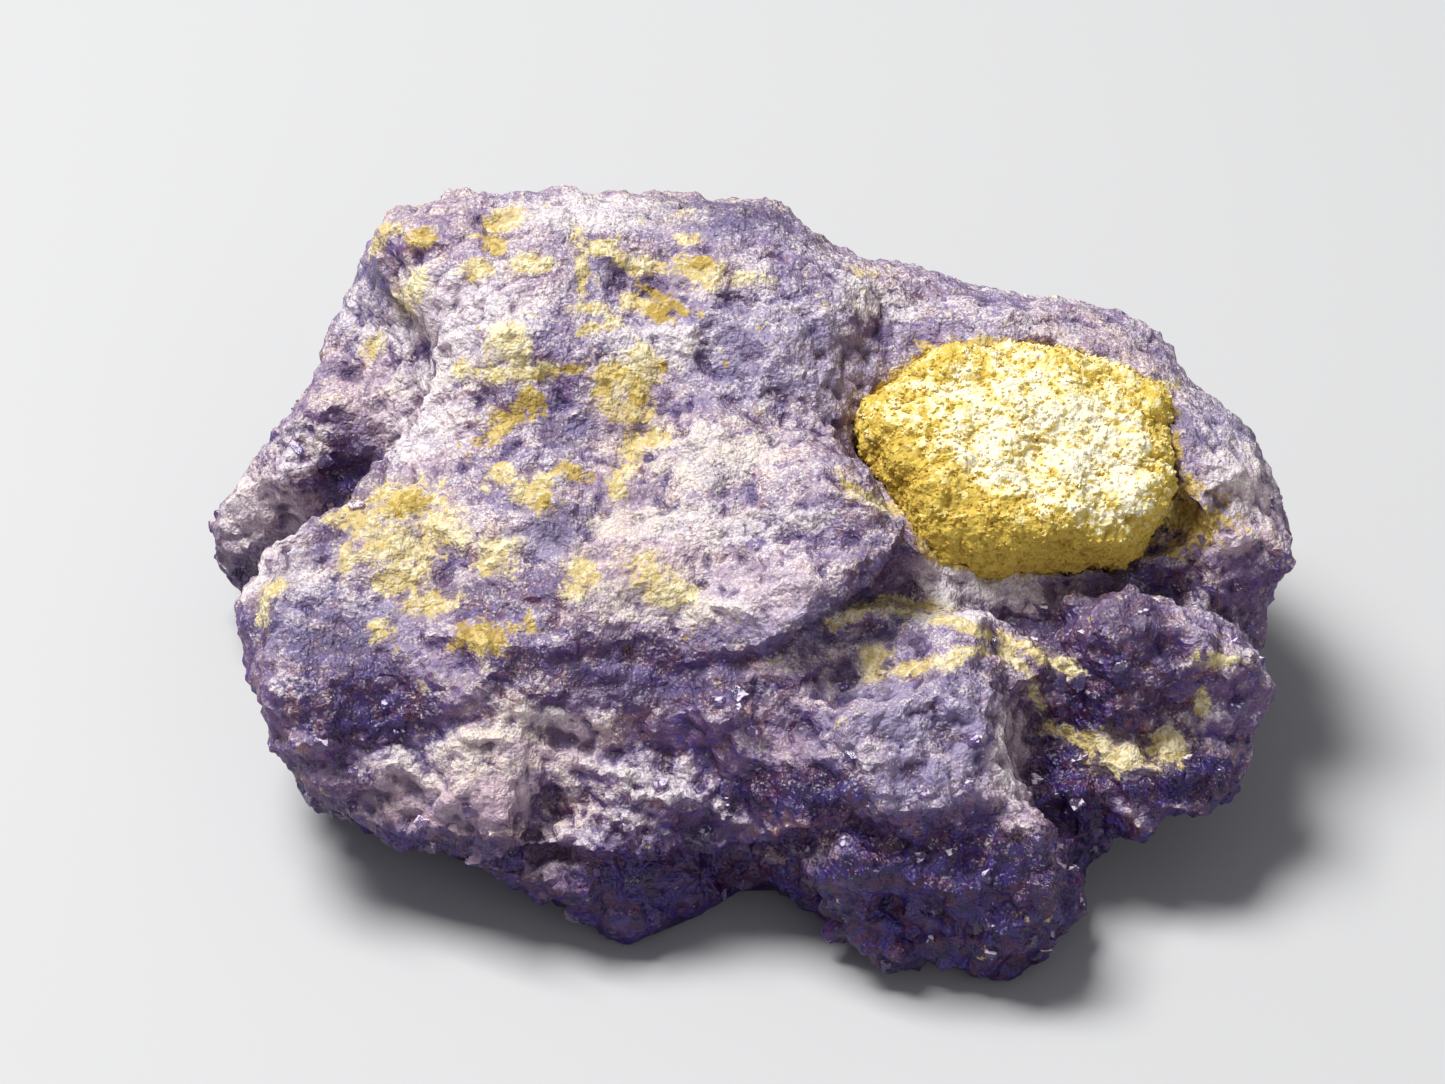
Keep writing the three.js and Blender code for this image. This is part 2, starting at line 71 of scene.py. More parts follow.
class Graph:
    """Short calls that add nodes to one node tree and join them."""

    def __init__(self, tree: bpy.types.NodeTree) -> None:
        """Takes the tree that the nodes go into."""
        self.tree = tree

    def join(self, node: bpy.types.Node, inputs: Inputs) -> None:
        """Gives a node's inputs their values.

        Args:
            node: the node.
            inputs: what each input gets, by its name or place, as a value or a socket.
        """
        for key, value in inputs.items():
            if isinstance(value, bpy.types.NodeSocket):
                self.tree.links.new(value, node.inputs[key])
            else:
                node.inputs[key].default_value = value

    def add(self, kind: str, inputs: Inputs, **settings: object) -> bpy.types.Node:
        """Adds one node.

        Args:
            kind: type of the node.
            inputs: what each input gets, by its name or place, as a value or a socket.
            settings: the node's own settings.

        Returns:
            The new node.
        """
        node = self.tree.nodes.new(kind)
        for name, setting in settings.items():
            setattr(node, name, setting)
        self.join(node, inputs)
        return node

    def math(self, operation: str, a: Value, b: Value) -> Socket:
        """Returns the result of one sum on two numbers."""
        return self.add("ShaderNodeMath", {0: a, 1: b}, operation=operation).outputs[0]

    def plus(self, a: Value, b: Value) -> Socket:
        """Returns a plus b."""
        return self.math("ADD", a, b)

    def less(self, a: Value, b: Value) -> Socket:
        """Returns a less b."""
        return self.math("SUBTRACT", a, b)

    def times(self, a: Value, b: Value) -> Socket:
        """Returns a times b."""
        return self.math("MULTIPLY", a, b)

    def most(self, a: Value, b: Value) -> Socket:
        """Returns the larger of a and b."""
        return self.math("MAXIMUM", a, b)

    def total(self, *parts: tuple[Value, float]) -> Socket:
        """Adds numbers up.

        Args:
            parts: each number and its own weight.

        Returns:
            The sum of the numbers, each times its weight.
        """
        value, weight = parts[0]
        result = self.times(value, weight)
        for value, weight in parts[1:]:
            inputs = {0: value, 1: weight, 2: result}
            result = self.add("ShaderNodeMath", inputs, operation="MULTIPLY_ADD").outputs[0]
        return result

    def vector(self, operation: str, a: Value, b: Value) -> Socket:
        """Returns the vector that one sum on two vectors gives."""
        return self.add("ShaderNodeVectorMath", {0: a, 1: b}, operation=operation).outputs[0]

    def dot(self, a: Value, b: Value) -> Socket:
        """Returns the dot product of two vectors."""
        node = self.add("ShaderNodeVectorMath", {0: a, 1: b}, operation="DOT_PRODUCT")
        return node.outputs["Value"]

    def scaled(self, a: Value, factor: Value) -> Socket:
        """Returns a vector times a number."""
        node = self.add("ShaderNodeVectorMath", {0: a, "Scale": factor}, operation="SCALE")
        return node.outputs[0]

    def channels(self, vector: Socket) -> Sequence[Socket]:
        """Returns the three numbers of a vector or colour."""
        return self.add("ShaderNodeSeparateXYZ", {0: vector}).outputs

    def ramp(
        self, value: Value, low: float, high: float, to_low: float = 0.0, to_high: float = 1.0
    ) -> Socket:
        """Takes a number smoothly from one range to another, and holds it at the ends.

        Args:
            value: the number.
            low: where it comes to to_low.
            high: where it comes to to_high, which may be under low.
            to_low: result at low and before it.
            to_high: result at high and past it.

        Returns:
            The result.
        """
        ends = {"From Min": low, "From Max": high, "To Min": to_low, "To Max": to_high}
        inputs = {"Value": value, **ends}
        node = self.add("ShaderNodeMapRange", inputs, interpolation_type="SMOOTHSTEP")
        return node.outputs["Result"]

    def mix(self, factor: Value, a: Union[Socket, Colour], b: Union[Socket, Colour]) -> Socket:
        """Mixes two colours.

        Args:
            factor: 0 for a, 1 for b.
            a: first colour.
            b: second colour.

        Returns:
            The colour between them.
        """
        whole = [c if isinstance(c, bpy.types.NodeSocket) else (*c, 1.0) for c in (a, b)]
        node = self.add("ShaderNodeMix", {0: factor, 6: whole[0], 7: whole[1]}, data_type="RGBA")
        return node.outputs[2]

    def noise(self, at: Value, size: float, detail: float, roughness: float = 0.5) -> Socket:
        """Returns a cloudy number from 0 to 1, with lumps about size across."""
        inputs = {"Vector": at, "Scale": 1 / size, "Detail": detail, "Roughness": roughness}
        return self.add("ShaderNodeTexNoise", inputs).outputs["Fac"]

    def warped(self, at: Value, size: float, by: float) -> Socket:
        """Pushes places about, so that cells on them grow irregular.

        Args:
            at: the places.
            size: size of the lumps that push them.
            by: how far they are pushed.

        Returns:
            The new places.
        """
        push = self.noise(at, size, 1.0).node.outputs["Color"]
        centred = self.vector("SUBTRACT", push, (0.5, 0.5, 0.5))
        return self.vector("ADD", at, self.scaled(centred, by))

    def dice(self, at: Value, size: float) -> Sequence[Socket]:
        """Returns three random numbers for each irregular cell, about size across."""
        cells = self.add("ShaderNodeTexVoronoi", {"Vector": at, "Scale": 1 / size}, feature="F1")
        return self.channels(cells.outputs["Color"])

    def grains(self, at: Value, grain: Grain) -> Socket:
        """Raises close-set pointed grains with flat sides and creases between them.

        Args:
            at: places to read.
            grain: size and height of the grains.

        Returns:
            The height in metres, about zero on average.
        """
        middle = 0.6
        inputs = {"Vector": at, "Scale": 1 / grain.size}
        node = self.add("ShaderNodeTexVoronoi", inputs, feature="F1", distance="MANHATTAN")
        return self.times(self.less(middle, node.outputs["Distance"]), grain.tall)


class MeshGraph(Graph):
    """A geometry node group that takes a mesh in, works on it and gives it out."""

    def __init__(self, name: str) -> None:
        """Starts the group.

        Args:
            name: name of the group.
        """
        super().__init__(bpy.data.node_groups.new(name, "GeometryNodeTree"))
        ends = self.tree.interface
        for way in ("INPUT", "OUTPUT"):
            ends.new_socket("Geometry", in_out=way, socket_type="NodeSocketGeometry")
        self.mesh = self.add("NodeGroupInput", {}).outputs[0]
        self.place = self.add("GeometryNodeInputPosition", {}).outputs[0]
        self.normal = self.add("GeometryNodeInputNormal", {}).outputs[0]
        self.above = self.channels(self.place)[2]

    def kept(self, name: str) -> Socket:
        """Returns a number that is kept on the points under a name."""
        node = self.add("GeometryNodeInputNamedAttribute", {"Name": name}, data_type="FLOAT")
        return node.outputs[0]

    def keep(self, name: str, value: Socket) -> None:
        """Keeps a number on the mesh's points.

        Args:
            name: name to keep it under.
            value: the number.
        """
        inputs = {"Geometry": self.mesh, "Name": name, "Value": value}
        settings = {"data_type": "FLOAT", "domain": "POINT"}
        self.mesh = self.add("GeometryNodeStoreNamedAttribute", inputs, **settings).outputs[0]

    def swing(self, size: float, detail: float, roughness: float = 0.5) -> Socket:
        """Returns a cloudy number about zero, with lumps about size across."""
        return self.less(self.noise(self.place, size, detail, roughness), 0.5)

    def move(self, height: Socket, lowest: float = -1.0) -> None:
        """Moves the mesh's points out along their normals.

        Args:
            height: how far, in metres.
            lowest: height above the floor that no point goes under.
        """
        moved = self.vector("ADD", self.place, self.scaled(self.normal, height))
        held = self.vector("MAXIMUM", moved, (-1.0, -1.0, lowest))
        inputs = {"Geometry": self.mesh, "Position": held}
        self.mesh = self.add("GeometryNodeSetPosition", inputs).outputs[0]

    def swell(self, rounds: int, unit: float) -> Socket:
        """Measures how far each point stands proud of its surroundings.

        Args:
            rounds: how widely the surroundings are averaged.
            unit: height that counts as one, in metres.

        Returns:
            Positive on bumps and edges, negative in hollows.
        """
        inputs = {"Value": self.place, "Iterations": rounds}
        around = self.add("GeometryNodeBlurAttribute", inputs, data_type="FLOAT_VECTOR")
        apart = self.vector("SUBTRACT", self.place, around.outputs[0])
        return self.math("DIVIDE", self.dot(apart, self.normal), unit)

    def apply(self, piece: bpy.types.Object) -> None:
        """Gives the mesh out and runs the group on a piece."""
        self.add("NodeGroupOutput", {0: self.mesh})
        apply_modifier(piece, "NODES", node_group=self.tree)


# ---- meshes ----


def only(piece: bpy.types.Object) -> None:
    """Selects one object alone and makes it the active one.

    Args:
        piece: the object.
    """
    bpy.ops.object.select_all(action="DESELECT")
    piece.select_set(True)
    bpy.context.view_layer.objects.active = piece


def merged_copy(node: str, name: str) -> bpy.types.Object:
    """Copies a solid's mesh to a new object and merges its loose triangles.

    Args:
        node: name of the solid.
        name: name of the new object.

    Returns:
        The new object.
    """
    piece = bpy.data.objects.new(name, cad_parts[node].data.copy())
    piece.data.name = name
    piece.data.materials.clear()
    bpy.context.collection.objects.link(piece)
    only(piece)
    bpy.ops.object.mode_set(mode="EDIT")
    bpy.ops.mesh.select_all(action="SELECT")
    bpy.ops.mesh.remove_doubles(threshold=1e-6)
    bpy.ops.mesh.normals_make_consistent(inside=False)
    bpy.ops.object.mode_set(mode="OBJECT")
    return piece


def apply_modifier(piece: bpy.types.Object, kind: str, **settings: object) -> None:
    """Adds one modifier with its settings and applies it.

    Args:
        piece: object that gets it.
        kind: type of the modifier.
        settings: the modifier's own settings.
    """
    only(piece)
    modifier = piece.modifiers.new(kind.title(), kind)
    for name, setting in settings.items():
        setattr(modifier, name, setting)
    bpy.ops.object.modifier_apply(modifier=modifier.name)


def smooth(piece: bpy.types.Object, rounds: int, weights: Optional[np.ndarray] = None) -> None:
    """Smooths a mesh.

    Args:
        piece: the mesh object.
        rounds: how many times.
        weights: how much each point takes part, from 0 to 1, or None for all of it.
    """
    steps = 10
    group = piece.vertex_groups.new(name="smoothed")
    if weights is not None:
        for step in range(1, steps + 1):
            near = np.nonzero(np.abs(weights * steps - step) <= 0.5)[0]
            group.add(near.tolist(), step / steps, "REPLACE")
    chosen = "" if weights is None else group.name
    apply_modifier(piece, "SMOOTH", factor=0.5, iterations=rounds, vertex_group=chosen)
    piece.vertex_groups.clear()


def thin(piece: bpy.types.Object, most: int) -> None:
    """Thins a mesh.

    Args:
        piece: the mesh object.
        most: about how many triangles it may keep.
    """
    triangles = sum(len(face.vertices) - 2 for face in piece.data.polygons)
    LOG.info("%s before thinning: %d triangles", piece.name, triangles)
    apply_modifier(piece, "DECIMATE", ratio=min(1.0, most / triangles))


def dress(piece: bpy.types.Object, crease: float, material: bpy.types.Material) -> None:
    """Shades a piece smoothly between its creases and gives it its material.

    Args:
        piece: the mesh object.
        crease: degrees from which an edge stays sharp.
        material: its material.
    """
    only(piece)
    bpy.ops.object.shade_smooth_by_angle(angle=math.radians(crease))
    piece.data.materials.append(material)


# ---- patches of colour that keep their own places ----


class Tint(Enum):
    """What a patch on the mass is made of."""

    CRUST = "crust"
    OCHRE = "ochre"
    DUST = "dust"
    PINK = "pink"
    # deep violet crystal, and painted shade under ledges, in hollows and along the foot
    DEEP = "deep"
    BLUE = "blue"
    COARSE = "coarse"


# Each patch is an ellipse on the front slope: place along X, place up the slope, half
# lengths along and up the slope, all in millimetres, and its turn in degrees.
Patch = tuple[float, float, float, float, float]
SLOPE_PITCH = math.radians(38)
PATCHES: dict[Tint, tuple[Patch, ...]] = {
    Tint.CRUST: (
        (-18.7, 25.1, 0.5, 0.4, 0), (-18, 25.9, 0.6, 0.4, 0), (-12.1, 26.1, 1.1, 0.6, 20),
        (-16.8, 22.6, 1, 0.8, 60), (-18.9, 20.1, 0.7, 0.5, 45), (-11.8, 20.2, 0.9, 0.9, 0),
        (-11.2, 19.3, 0.6, 0.8, 0), (-5.8, 16.5, 1.2, 0.6, -20), (-5.3, 17.4, 0.9, 0.7, 0),
        (-4.5, 15.3, 0.9, 0.5, 0), (-5.6, 14.4, 0.5, 1.2, -10), (-6.2, 12.9, 0.5, 0.8, 0),
        (-10.2, 12.5, 1, 0.9, -20), (-5.7, 22, 0.5, 0.5, 0), (-6.1, 24.3, 0.7, 0.4, -20),
        (-12, 13.5, 0.6, 0.5, 0), (-16.5, 12.1, 2.1, 0.9, -10), (-19, 11.2, 1.4, 0.8, -25),
        (-17.1, 9.9, 1.9, 1.4, 0), (-16.9, 8.5, 1.4, 0.9, 10), (-15, 10.6, 1.3, 0.9, 0),
        (-12, 9.7, 1, 0.9, 0), (-12.5, 8.9, 0.6, 0.5, 0), (-15.4, 7.1, 1.1, 0.7, 0),
        (-8, 8.6, 0.7, 1, 0), (-4.6, 8.7, 1.5, 0.7, -20), (-3.5, 7.6, 1.3, 0.6, -10),
        (-17.8, 5.7, 0.6, 0.5, 0), (-19.6, 9.2, 0.5, 0.7, 0), (-23.1, 7.8, 0.7, 0.4, 20),
        (-23.8, 6.7, 0.4, 0.8, 0), (-7.1, 24.9, 0.8, 0.5, 0), (-5.2, 24, 1.3, 0.5, -10),
        (-2.1, 23.6, 1.8, 0.7, -10), (-0.1, 23.3, 1.1, 0.4, 0), (-2.6, 25.3, 0.6, 0.3, 0),
        (-10.7, 24, 1, 0.5, 0), (-13.2, 23.6, 0.8, 0.5, 0), (-4.7, 21.6, 0.9, 0.4, -25),
        (-7.2, 20.8, 0.9, 0.4, 20), (-5.6, 18.5, 1.5, 1, 22), (-7.6, 21.7, 0.9, 0.35, 0),
        (6.4, 4.2, 0.7, 0.9, 0), (17.3, 0.2, 1, 0.5, -10), (18.4, -0.5, 1.5, 0.8, -15),
        (20.9, -0.2, 0.9, 0.7, 0), (23.6, 4.3, 1.1, 0.3, 0), (22.4, 4.4, 0.4, 0.5, 0),
        (22.5, 2, 0.4, 0.7, 0), (6, 23.8, 0.8, 0.3, -10), (21.6, 18, 0.5, 0.3, 0),
        (7.3, 11.8, 0.9, 0.3, -20),
    ),
    Tint.OCHRE: (
        (-16.1, 25.3, 0.7, 0.6, 0), (-12.5, 25.1, 0.6, 0.6, 40), (-11.6, 16.2, 2, 0.65, 38),
        (-6.6, 18.5, 1, 0.5, 22), (-5.3, 17.4, 0.5, 0.6, 0), (-4.1, 18.8, 0.4, 0.4, 0),
        (-8.4, 13.4, 1, 0.5, -30), (-3.8, 22.1, 1.5, 0.3, -32), (-8.9, 18.5, 1.1, 0.25, 4),
        (-16.8, 12, 1.2, 0.6, 0), (-12.6, 5.5, 1.9, 0.7, 15), (-9.8, 11.9, 0.7, 0.4, 0),
        (-4.4, 21.5, 0.6, 0.3, 0), (-2.2, 24.1, 0.7, 0.4, 0), (9.2, 19.2, 0.9, 1, 0),
        (22.1, 11.4, 1.8, 1.7, 0), (-7.1, 17.5, 0.6, 0.4, 0),
    ),
    Tint.DUST: (
        (-13.1, 20.6, 3.1, 1.3, 12), (-15.1, 18.6, 3.1, 1, 20), (-16.4, 15.6, 2, 1.3, 0),
        (-4.2, 19.8, 2.2, 1, 0), (-7.2, 26.7, 4.9, 0.9, 0), (-22.4, 8.6, 1.5, 1.3, 30),
        (-4.1, 11.1, 3.2, 0.7, 5), (0.8, 10.9, 3, 0.6, 8), (-5.1, 7.2, 3.1, 0.9, -10),
        (-2.2, 6.7, 2.6, 0.6, 0), (-2.2, 14.3, 2.3, 1.4, 0), (0, 14.6, 2.1, 0.7, 0),
        (-14.9, -0.6, 3.6, 1.2, 5), (-6.1, -2, 3.6, 1.4, 0), (-10.9, 1.3, 2.1, 0.7, 0),
        (-1.2, -4, 2.3, 1.4, 0), (24.4, 13, 1.7, 2, 0), (22.7, 1.1, 1.5, 0.9, 0),
        (6.4, 22.2, 2.1, 0.8, -20), (-22.6, 14.5, 1.9, 1.5, 30), (12.9, -0.5, 0.6, 2.1, 0),
        # (11.5, 8.2) and (12, 7.2) lie under the nodule: dust, and painted light that lifts the
        # nodule's shadow there
        (-9, -4, 3.1, 0.7, 0), (11.5, 8.2, 3, 1.3, 0), (-19.5, 21.5, 1.2, 2, 0),
        (-24.6, 10.7, 2.4, 3, 20), (12, 7.2, 3, 1, 0), (-15.5, 21.3, 2.8, 2.4, 0),
    ),
    Tint.PINK: (
        (-15.9, 15.6, 2.3, 1.8, 0), (-2.2, 7.7, 5.7, 1.5, 0), (10.7, 8.6, 2.8, 0.9, 0),
        (12.7, 7.2, 3.1, 0.9, 0), (-14.1, 21.6, 3.6, 1.5, 0), (-10, 0.4, 3.1, 1.2, 0),
        (-4.6, 9.2, 3.1, 1.2, 0), (16.7, 9.2, 1.2, 0.9, 0), (-14.3, -2.5, 4.1, 1.5, 0),
        (-24.6, 10.7, 2.6, 3, 20), (24, 12, 2.5, 2.5, 0), (-19, 17.5, 1, 3, 0),
        (13.4, -1.8, 1.2, 4, 0),
    ),
    # the deep patches are deep violet crystal and also painted shade, most along the low front
    Tint.DEEP: (
        (4, -10.5, 22, 3.2, 0), (9.8, -7.6, 6.5, 3.6, 0), (-3.3, -7, 4.5, 2, 0),
        (14, -9, 5, 2.6, 0), (7, 9.3, 1.1, 2.2, -40), (-8.5, 7.8, 3.1, 0.9, 0),
        (-6.5, 4.2, 4.9, 1.3, 5), (-18.7, 2.4, 3.1, 1.8, 0), (-19.8, 5.3, 2.2, 1.3, 0),
        (17.9, 4.8, 3.2, 2.7, 0), (16.2, -1.2, 1.8, 3.4, 0), (-19.6, 13.7, 1.5, 2.4, 0),
        (-2.2, 2.9, 4.1, 0.8, 0), (-12.9, 7.2, 2.1, 0.8, 0), (-10, 7.7, 1.5, 0.8, 0),
        (21.3, -1.6, 3.1, 1.3, 0), (-9, 11.1, 1.3, 0.8, 0), (19.1, 7.6, 2.1, 1.1, 0),
        (2.7, -1.9, 3.1, 1.2, 0), (-9.1, 15.6, 1.5, 0.7, 0), (-1.5, 26.8, 3.6, 0.8, 0),
    ),
    Tint.BLUE: (
        (1.3, 19.5, 4.4, 2.7, -10), (1.4, 6.6, 3.4, 1.8, 0), (8.2, 0.2, 4.6, 2.9, 0),
        (-7.7, 23.4, 0.8, 0.9, 0), (-9.1, 15.9, 1.3, 1, 0), (-20.3, 6.2, 3.1, 1.5, 0),
        (-9, 10.2, 2.1, 1.5, 0), (24.5, 15.6, 2.1, 2.1, 0), (4.6, -1.4, 0.8, 0.7, 0),
        (-2.2, 26.5, 4.6, 1, 0), (-19.7, 22.5, 1.5, 2.2, 0),
    ),
    Tint.COARSE: (
        (7.5, -1.5, 5.5, 4.5, 0), (17, 4, 6, 5, 0), (22, -0.5, 4.5, 3, 0), (-2, -3.5, 6, 3, 0),
        (-12, -4, 6, 2.5, 10), (-20, -1, 4, 4, 0), (14, -5, 5, 4, 0), (-22, 12, 3, 4, 0),
        (24, 8, 3, 6, 0), (2, 2, 4, 2, 0),
    ),
}


# Each band is a line over the front slope and half its width, in millimetres.
Band = tuple[tuple[Point, ...], float]
BANDS: dict[Tint, tuple[Band, ...]] = {
    Tint.CRUST: (
        (((4.3, 6), (5.7, 6.9), (7.1, 7), (8.8, 6.7), (10.3, 6.2), (12, 5.6), (13.6, 5),
          (15.1, 4.4), (16.3, 3.6)), 0.28),
        (((7.6, 3.8), (8.7, 4), (9.9, 4.3), (11.1, 4.8), (12.4, 4.9), (13.2, 4.4)), 0.26),
        (((13.2, 4.4), (14.1, 3.5), (14.3, 2.4), (14.7, 1.7)), 0.18),
        (((15, 0.9), (16.2, 0.4), (17.3, 0.1), (19, -0.2)), 0.3),
        (((5.1, 12.7), (6.6, 12.1), (7.7, 11.5)), 0.3),
        (((-8.3, 26), (-8.2, 24.4), (-8, 22.6)), 0.22),
        (((-14, 18.7), (-12.6, 18.3), (-11, 18.4), (-9.4, 18.6)), 0.36),
    ),
    Tint.OCHRE: (
        (((5.8, 16), (7.4, 18), (9.2, 19.8), (10.9, 20), (13.5, 19.9), (17, 19.2), (20, 18.1),
          (21.4, 16.7), (21.6, 14.7), (21, 12.7), (20, 9.9), (18, 9.2), (15, 8.8), (12, 8.9),
          (9.4, 9.3), (8.2, 11.4), (7.7, 14), (5.8, 16)), 0.3),
    ),
    # deep bands: painted shade beside the plate's end face, the west lobe and the block's edge,
    # over deep violet crystal
    Tint.DEEP: (
        (((7.9, 11.2), (7.1, 9.6), (5.4, 7.9), (3.6, 6.6)), 0.62),
        (((6, 7.7), (3, 6.1), (1.4, 4.9)), 0.35),
        (((-24, 6.2), (-22.6, 8.3), (-20.2, 10.6), (-18.8, 13.2)), 0.7),
        (((16.4, -7.5), (16.6, -4.5), (15.6, -1.6)), 0.8),
    ),
}


@dataclass(frozen=True)
class Ledge:
    """A break in the front slope, where one side stands above the other.

    Its line runs over the slope, with the raised side on its left. All lengths are in
    millimetres: how far the sides rise and sink, how far from the line that reaches, and
    the width of the step itself.
    """

    line: tuple[Point, ...]
    rise: float
    sink: float
    reach: float = 5.0
    edge: float = 0.35


LEDGES: dict[str, Ledge] = {
    "plate": Ledge(
        ((0.2, 4.6), (1.9, 5.2), (3.4, 6.6), (5.4, 7.7), (7.1, 9.2), (7.9, 10.7), (5.9, 12.1),
         (3.5, 13.2)), rise=1.3, sink=0.7, reach=6.0,
    ),
    "ridge_top": Ledge(
        ((14.8, 2.3), (15, 4.6), (12.7, 6.2), (9.1, 6.8), (6.2, 7), (4.3, 6.3)),
        rise=0.7, sink=0.7, reach=3.5,
    ),
    "west_lobe": Ledge(
        ((-17.4, 15.7), (-18.4, 13.7), (-20.6, 11.2), (-23, 8.9), (-24.2, 6.9)),
        rise=0.7, sink=1.3, reach=4.0,
    ),
    "middle_break": Ledge(
        ((-15.3, 5.3), (-10.9, 4.4), (-6.1, 5), (-2.2, 4.2), (0.3, 4.6)),
        rise=0.3, sink=0.3, reach=4.0,
    ),
    "bulge": Ledge(
        ((-1.2, -2.3), (-5.1, -1.2), (-9, 0), (-12.8, 1.1), (-17.3, 0.2)), rise=0.5, sink=0.4,
    ),
    "lip": Ledge(
        ((-16.9, -5), (-12.9, -5.5), (-9, -5), (-5.1, -5.4), (-0.2, -4.9), (2.7, -3.9),
         (5.1, -3.5), (7.5, -3.8)), rise=0.5, sink=0.9, reach=3.0,
    ),
    "bump": Ledge(
        ((23.2, 2.3), (22.9, 5.3), (21.1, 7.2), (18.1, 7.6), (15.7, 7.2)), rise=0.5, sink=0.6,
    ),
    "block_edge": Ledge(
        ((14.8, -8.3), (15.5, -5.6), (14.6, -2.7), (12.3, -0.4)), rise=0.5, sink=0.6,
    ),
}


@dataclass(frozen=True)
class Spur:
    """A small point drawn out of the front slope.

    Its place and half lengths run along and up the slope and it moves along, up and out of
    the slope, all in millimetres.
    """

    at: Point
    reach: Pair
    by: tuple[float, float, float]


SPURS: dict[str, Spur] = {
    "foot": Spur((-5.9, -9), (2.2, 1.6), (0, -0.68, 0.87)),
    "over_nodule": Spur((10.5, 20.4), (1.5, 1.5), (0.2, -1.9, 0.9)),
    "under_nodule": Spur((13.4, 8), (1, 0.9), (0, 0.8, 0.4)),
}


@dataclass(frozen=True)
class NearLine:
    """Where points lie next to a line over the front slope.

    Each has its distance in millimetres, its side (1 on the left, -1 on the right) and
    the share of the line that is walked by then.
    """

    away: np.ndarray
    side: np.ndarray
    progress: np.ndarray


class Slope:
    """A mesh's points in metres and their normals, laid out over the front slope."""

    sine: float = math.sin(SLOPE_PITCH)
    cosine: float = math.cos(SLOPE_PITCH)

    def __init__(self, piece: bpy.types.Object) -> None:
        """Reads the points.

        Args:
            piece: the mesh object.
        """
        self.piece = piece
        self.points = self.rows(piece.data.vertices, "co")
        self.normals = self.rows(piece.data.vertex_normals, "vector")
        self.lay_out()

    def rows(self, holders: bpy.types.bpy_prop_collection, name: str) -> np.ndarray:
        """Reads one vector of each point.

        Args:
            holders: what holds the vectors, one a point.
            name: name of the vector.

        Returns:
            The vectors, one a row.
        """
        flat = np.empty(len(holders) * 3, dtype=np.float32)
        holders.foreach_get(name, flat)
        return flat.reshape(-1, 3).astype(float)

    def lay_out(self) -> None:
        """Measures the points: millimetres along X and up the slope, and how they face it."""
        x, y, z = self.points.T
        self.across = x / MM
        self.up = (y * self.sine + z * self.cosine) / MM
        self.facing = self.normals[:, 2] * self.sine - self.normals[:, 1] * self.cosine

    def front(self) -> np.ndarray:
        """Returns 1 for points that look to the front, falling to 0 for those that look away."""
        return np.clip(self.facing * 4 + 0.2, 0, 1)

    def near(self, line: Sequence[Point]) -> NearLine:
        """Measures the points against a line.

        Args:
            line: corners of the line over the slope, in millimetres.

        Returns:
            Where each point lies next to it.
        """
        nearest = np.full(len(self.across), 1e9)
        side = np.zeros(len(self.across))
        progress = np.zeros(len(self.across))
        whole = sum(math.dist(a, b) for a, b in zip(line, line[1:]))
        walked = 0.0
        for (ax, ay), (bx, by) in zip(line, line[1:]):
            run = math.dist((ax, ay), (bx, by))
            dx, dy = (bx - ax) / run, (by - ay) / run
            along = np.clip((self.across - ax) * dx + (self.up - ay) * dy, 0, run)
            away = np.hypot(self.across - ax - along * dx, self.up - ay - along * dy)
            closer = away < nearest
            left = (self.up - ay) * dx - (self.across - ax) * dy
            nearest = np.where(closer, away, nearest)
            side = np.where(closer, np.sign(left), side)
            progress = np.where(closer, (walked + along) / whole, progress)
            walked += run
        return NearLine(nearest, side, progress)

    def in_bands(self, bands: Sequence[Band]) -> np.ndarray:
        """Measures how close the points are to the middle of the nearest band.

        Args:
            bands: the bands.

        Returns:
            0.8 along the middle, 0.5 at the edges, 0 away from them and at the back.
        """
        closeness = np.zeros(len(self.points))
        for line, half_width in bands:
            closeness = np.maximum(closeness, 0.8 - 0.3 * self.near(line).away / half_width)
        return closeness * self.front()

    def in_patches(self, patches: Sequence[Patch]) -> np.ndarray:
        """Measures how deep inside the nearest patch the points lie.

        Args:
            patches: the ellipses.

        Returns:
            1 at the middle, 0.5 at the edge, 0 away from them and at the back.
        """
        closeness = np.zeros(len(self.points))
        for x, y, half_x, half_y, turn in patches:
            cosine, sine = math.cos(math.radians(turn)), math.sin(math.radians(turn))
            along = ((self.across - x) * cosine + (self.up - y) * sine) / half_x
            over = ((self.up - y) * cosine - (self.across - x) * sine) / half_y
            closeness = np.maximum(closeness, 1 - 0.5 * np.hypot(along, over))
        return closeness * self.front()

    def ledge(self, ledge: Ledge) -> np.ndarray:
        """Measures how far one ledge moves the points along their normals.

        Args:
            ledge: the ledge.

        Returns:
            Metres along X, Y and Z, one point a row.
        """
        near = self.near(ledge.line)
        step = np.clip(near.away * near.side / ledge.edge * 0.5 + 0.5, 0, 1)
        step = step * step * (3 - 2 * step)
        fade = np.clip(1 - near.away / ledge.reach, 0, 1) ** 1.5
        ends = np.clip(np.minimum(near.progress, 1 - near.progress) * 5, 0, 1)
        height = (ledge.rise * step - ledge.sink * (1 - step)) * fade * np.sqrt(ends)
        height = height * MM * np.clip(self.facing * 3 + 0.3, 0, 1)
        return self.normals * height[:, None]

    def spur(self, spur: Spur) -> np.ndarray:
        """Measures how far one spur moves the points.

        Args:
            spur: the spur.

        Returns:
            Metres along X, Y and Z, one point a row.
        """
        along = (self.across - spur.at[0]) / spur.reach[0]
        over = (self.up - spur.at[1]) / spur.reach[1]
        near = np.clip(1 - np.hypot(along, over), 0, 1) * (self.facing > 0)
        run, rise, out = spur.by
        back, lift = rise * self.sine - out * self.cosine, rise * self.cosine + out * self.sine
        return near[:, None] * np.array([run, back, lift]) * MM

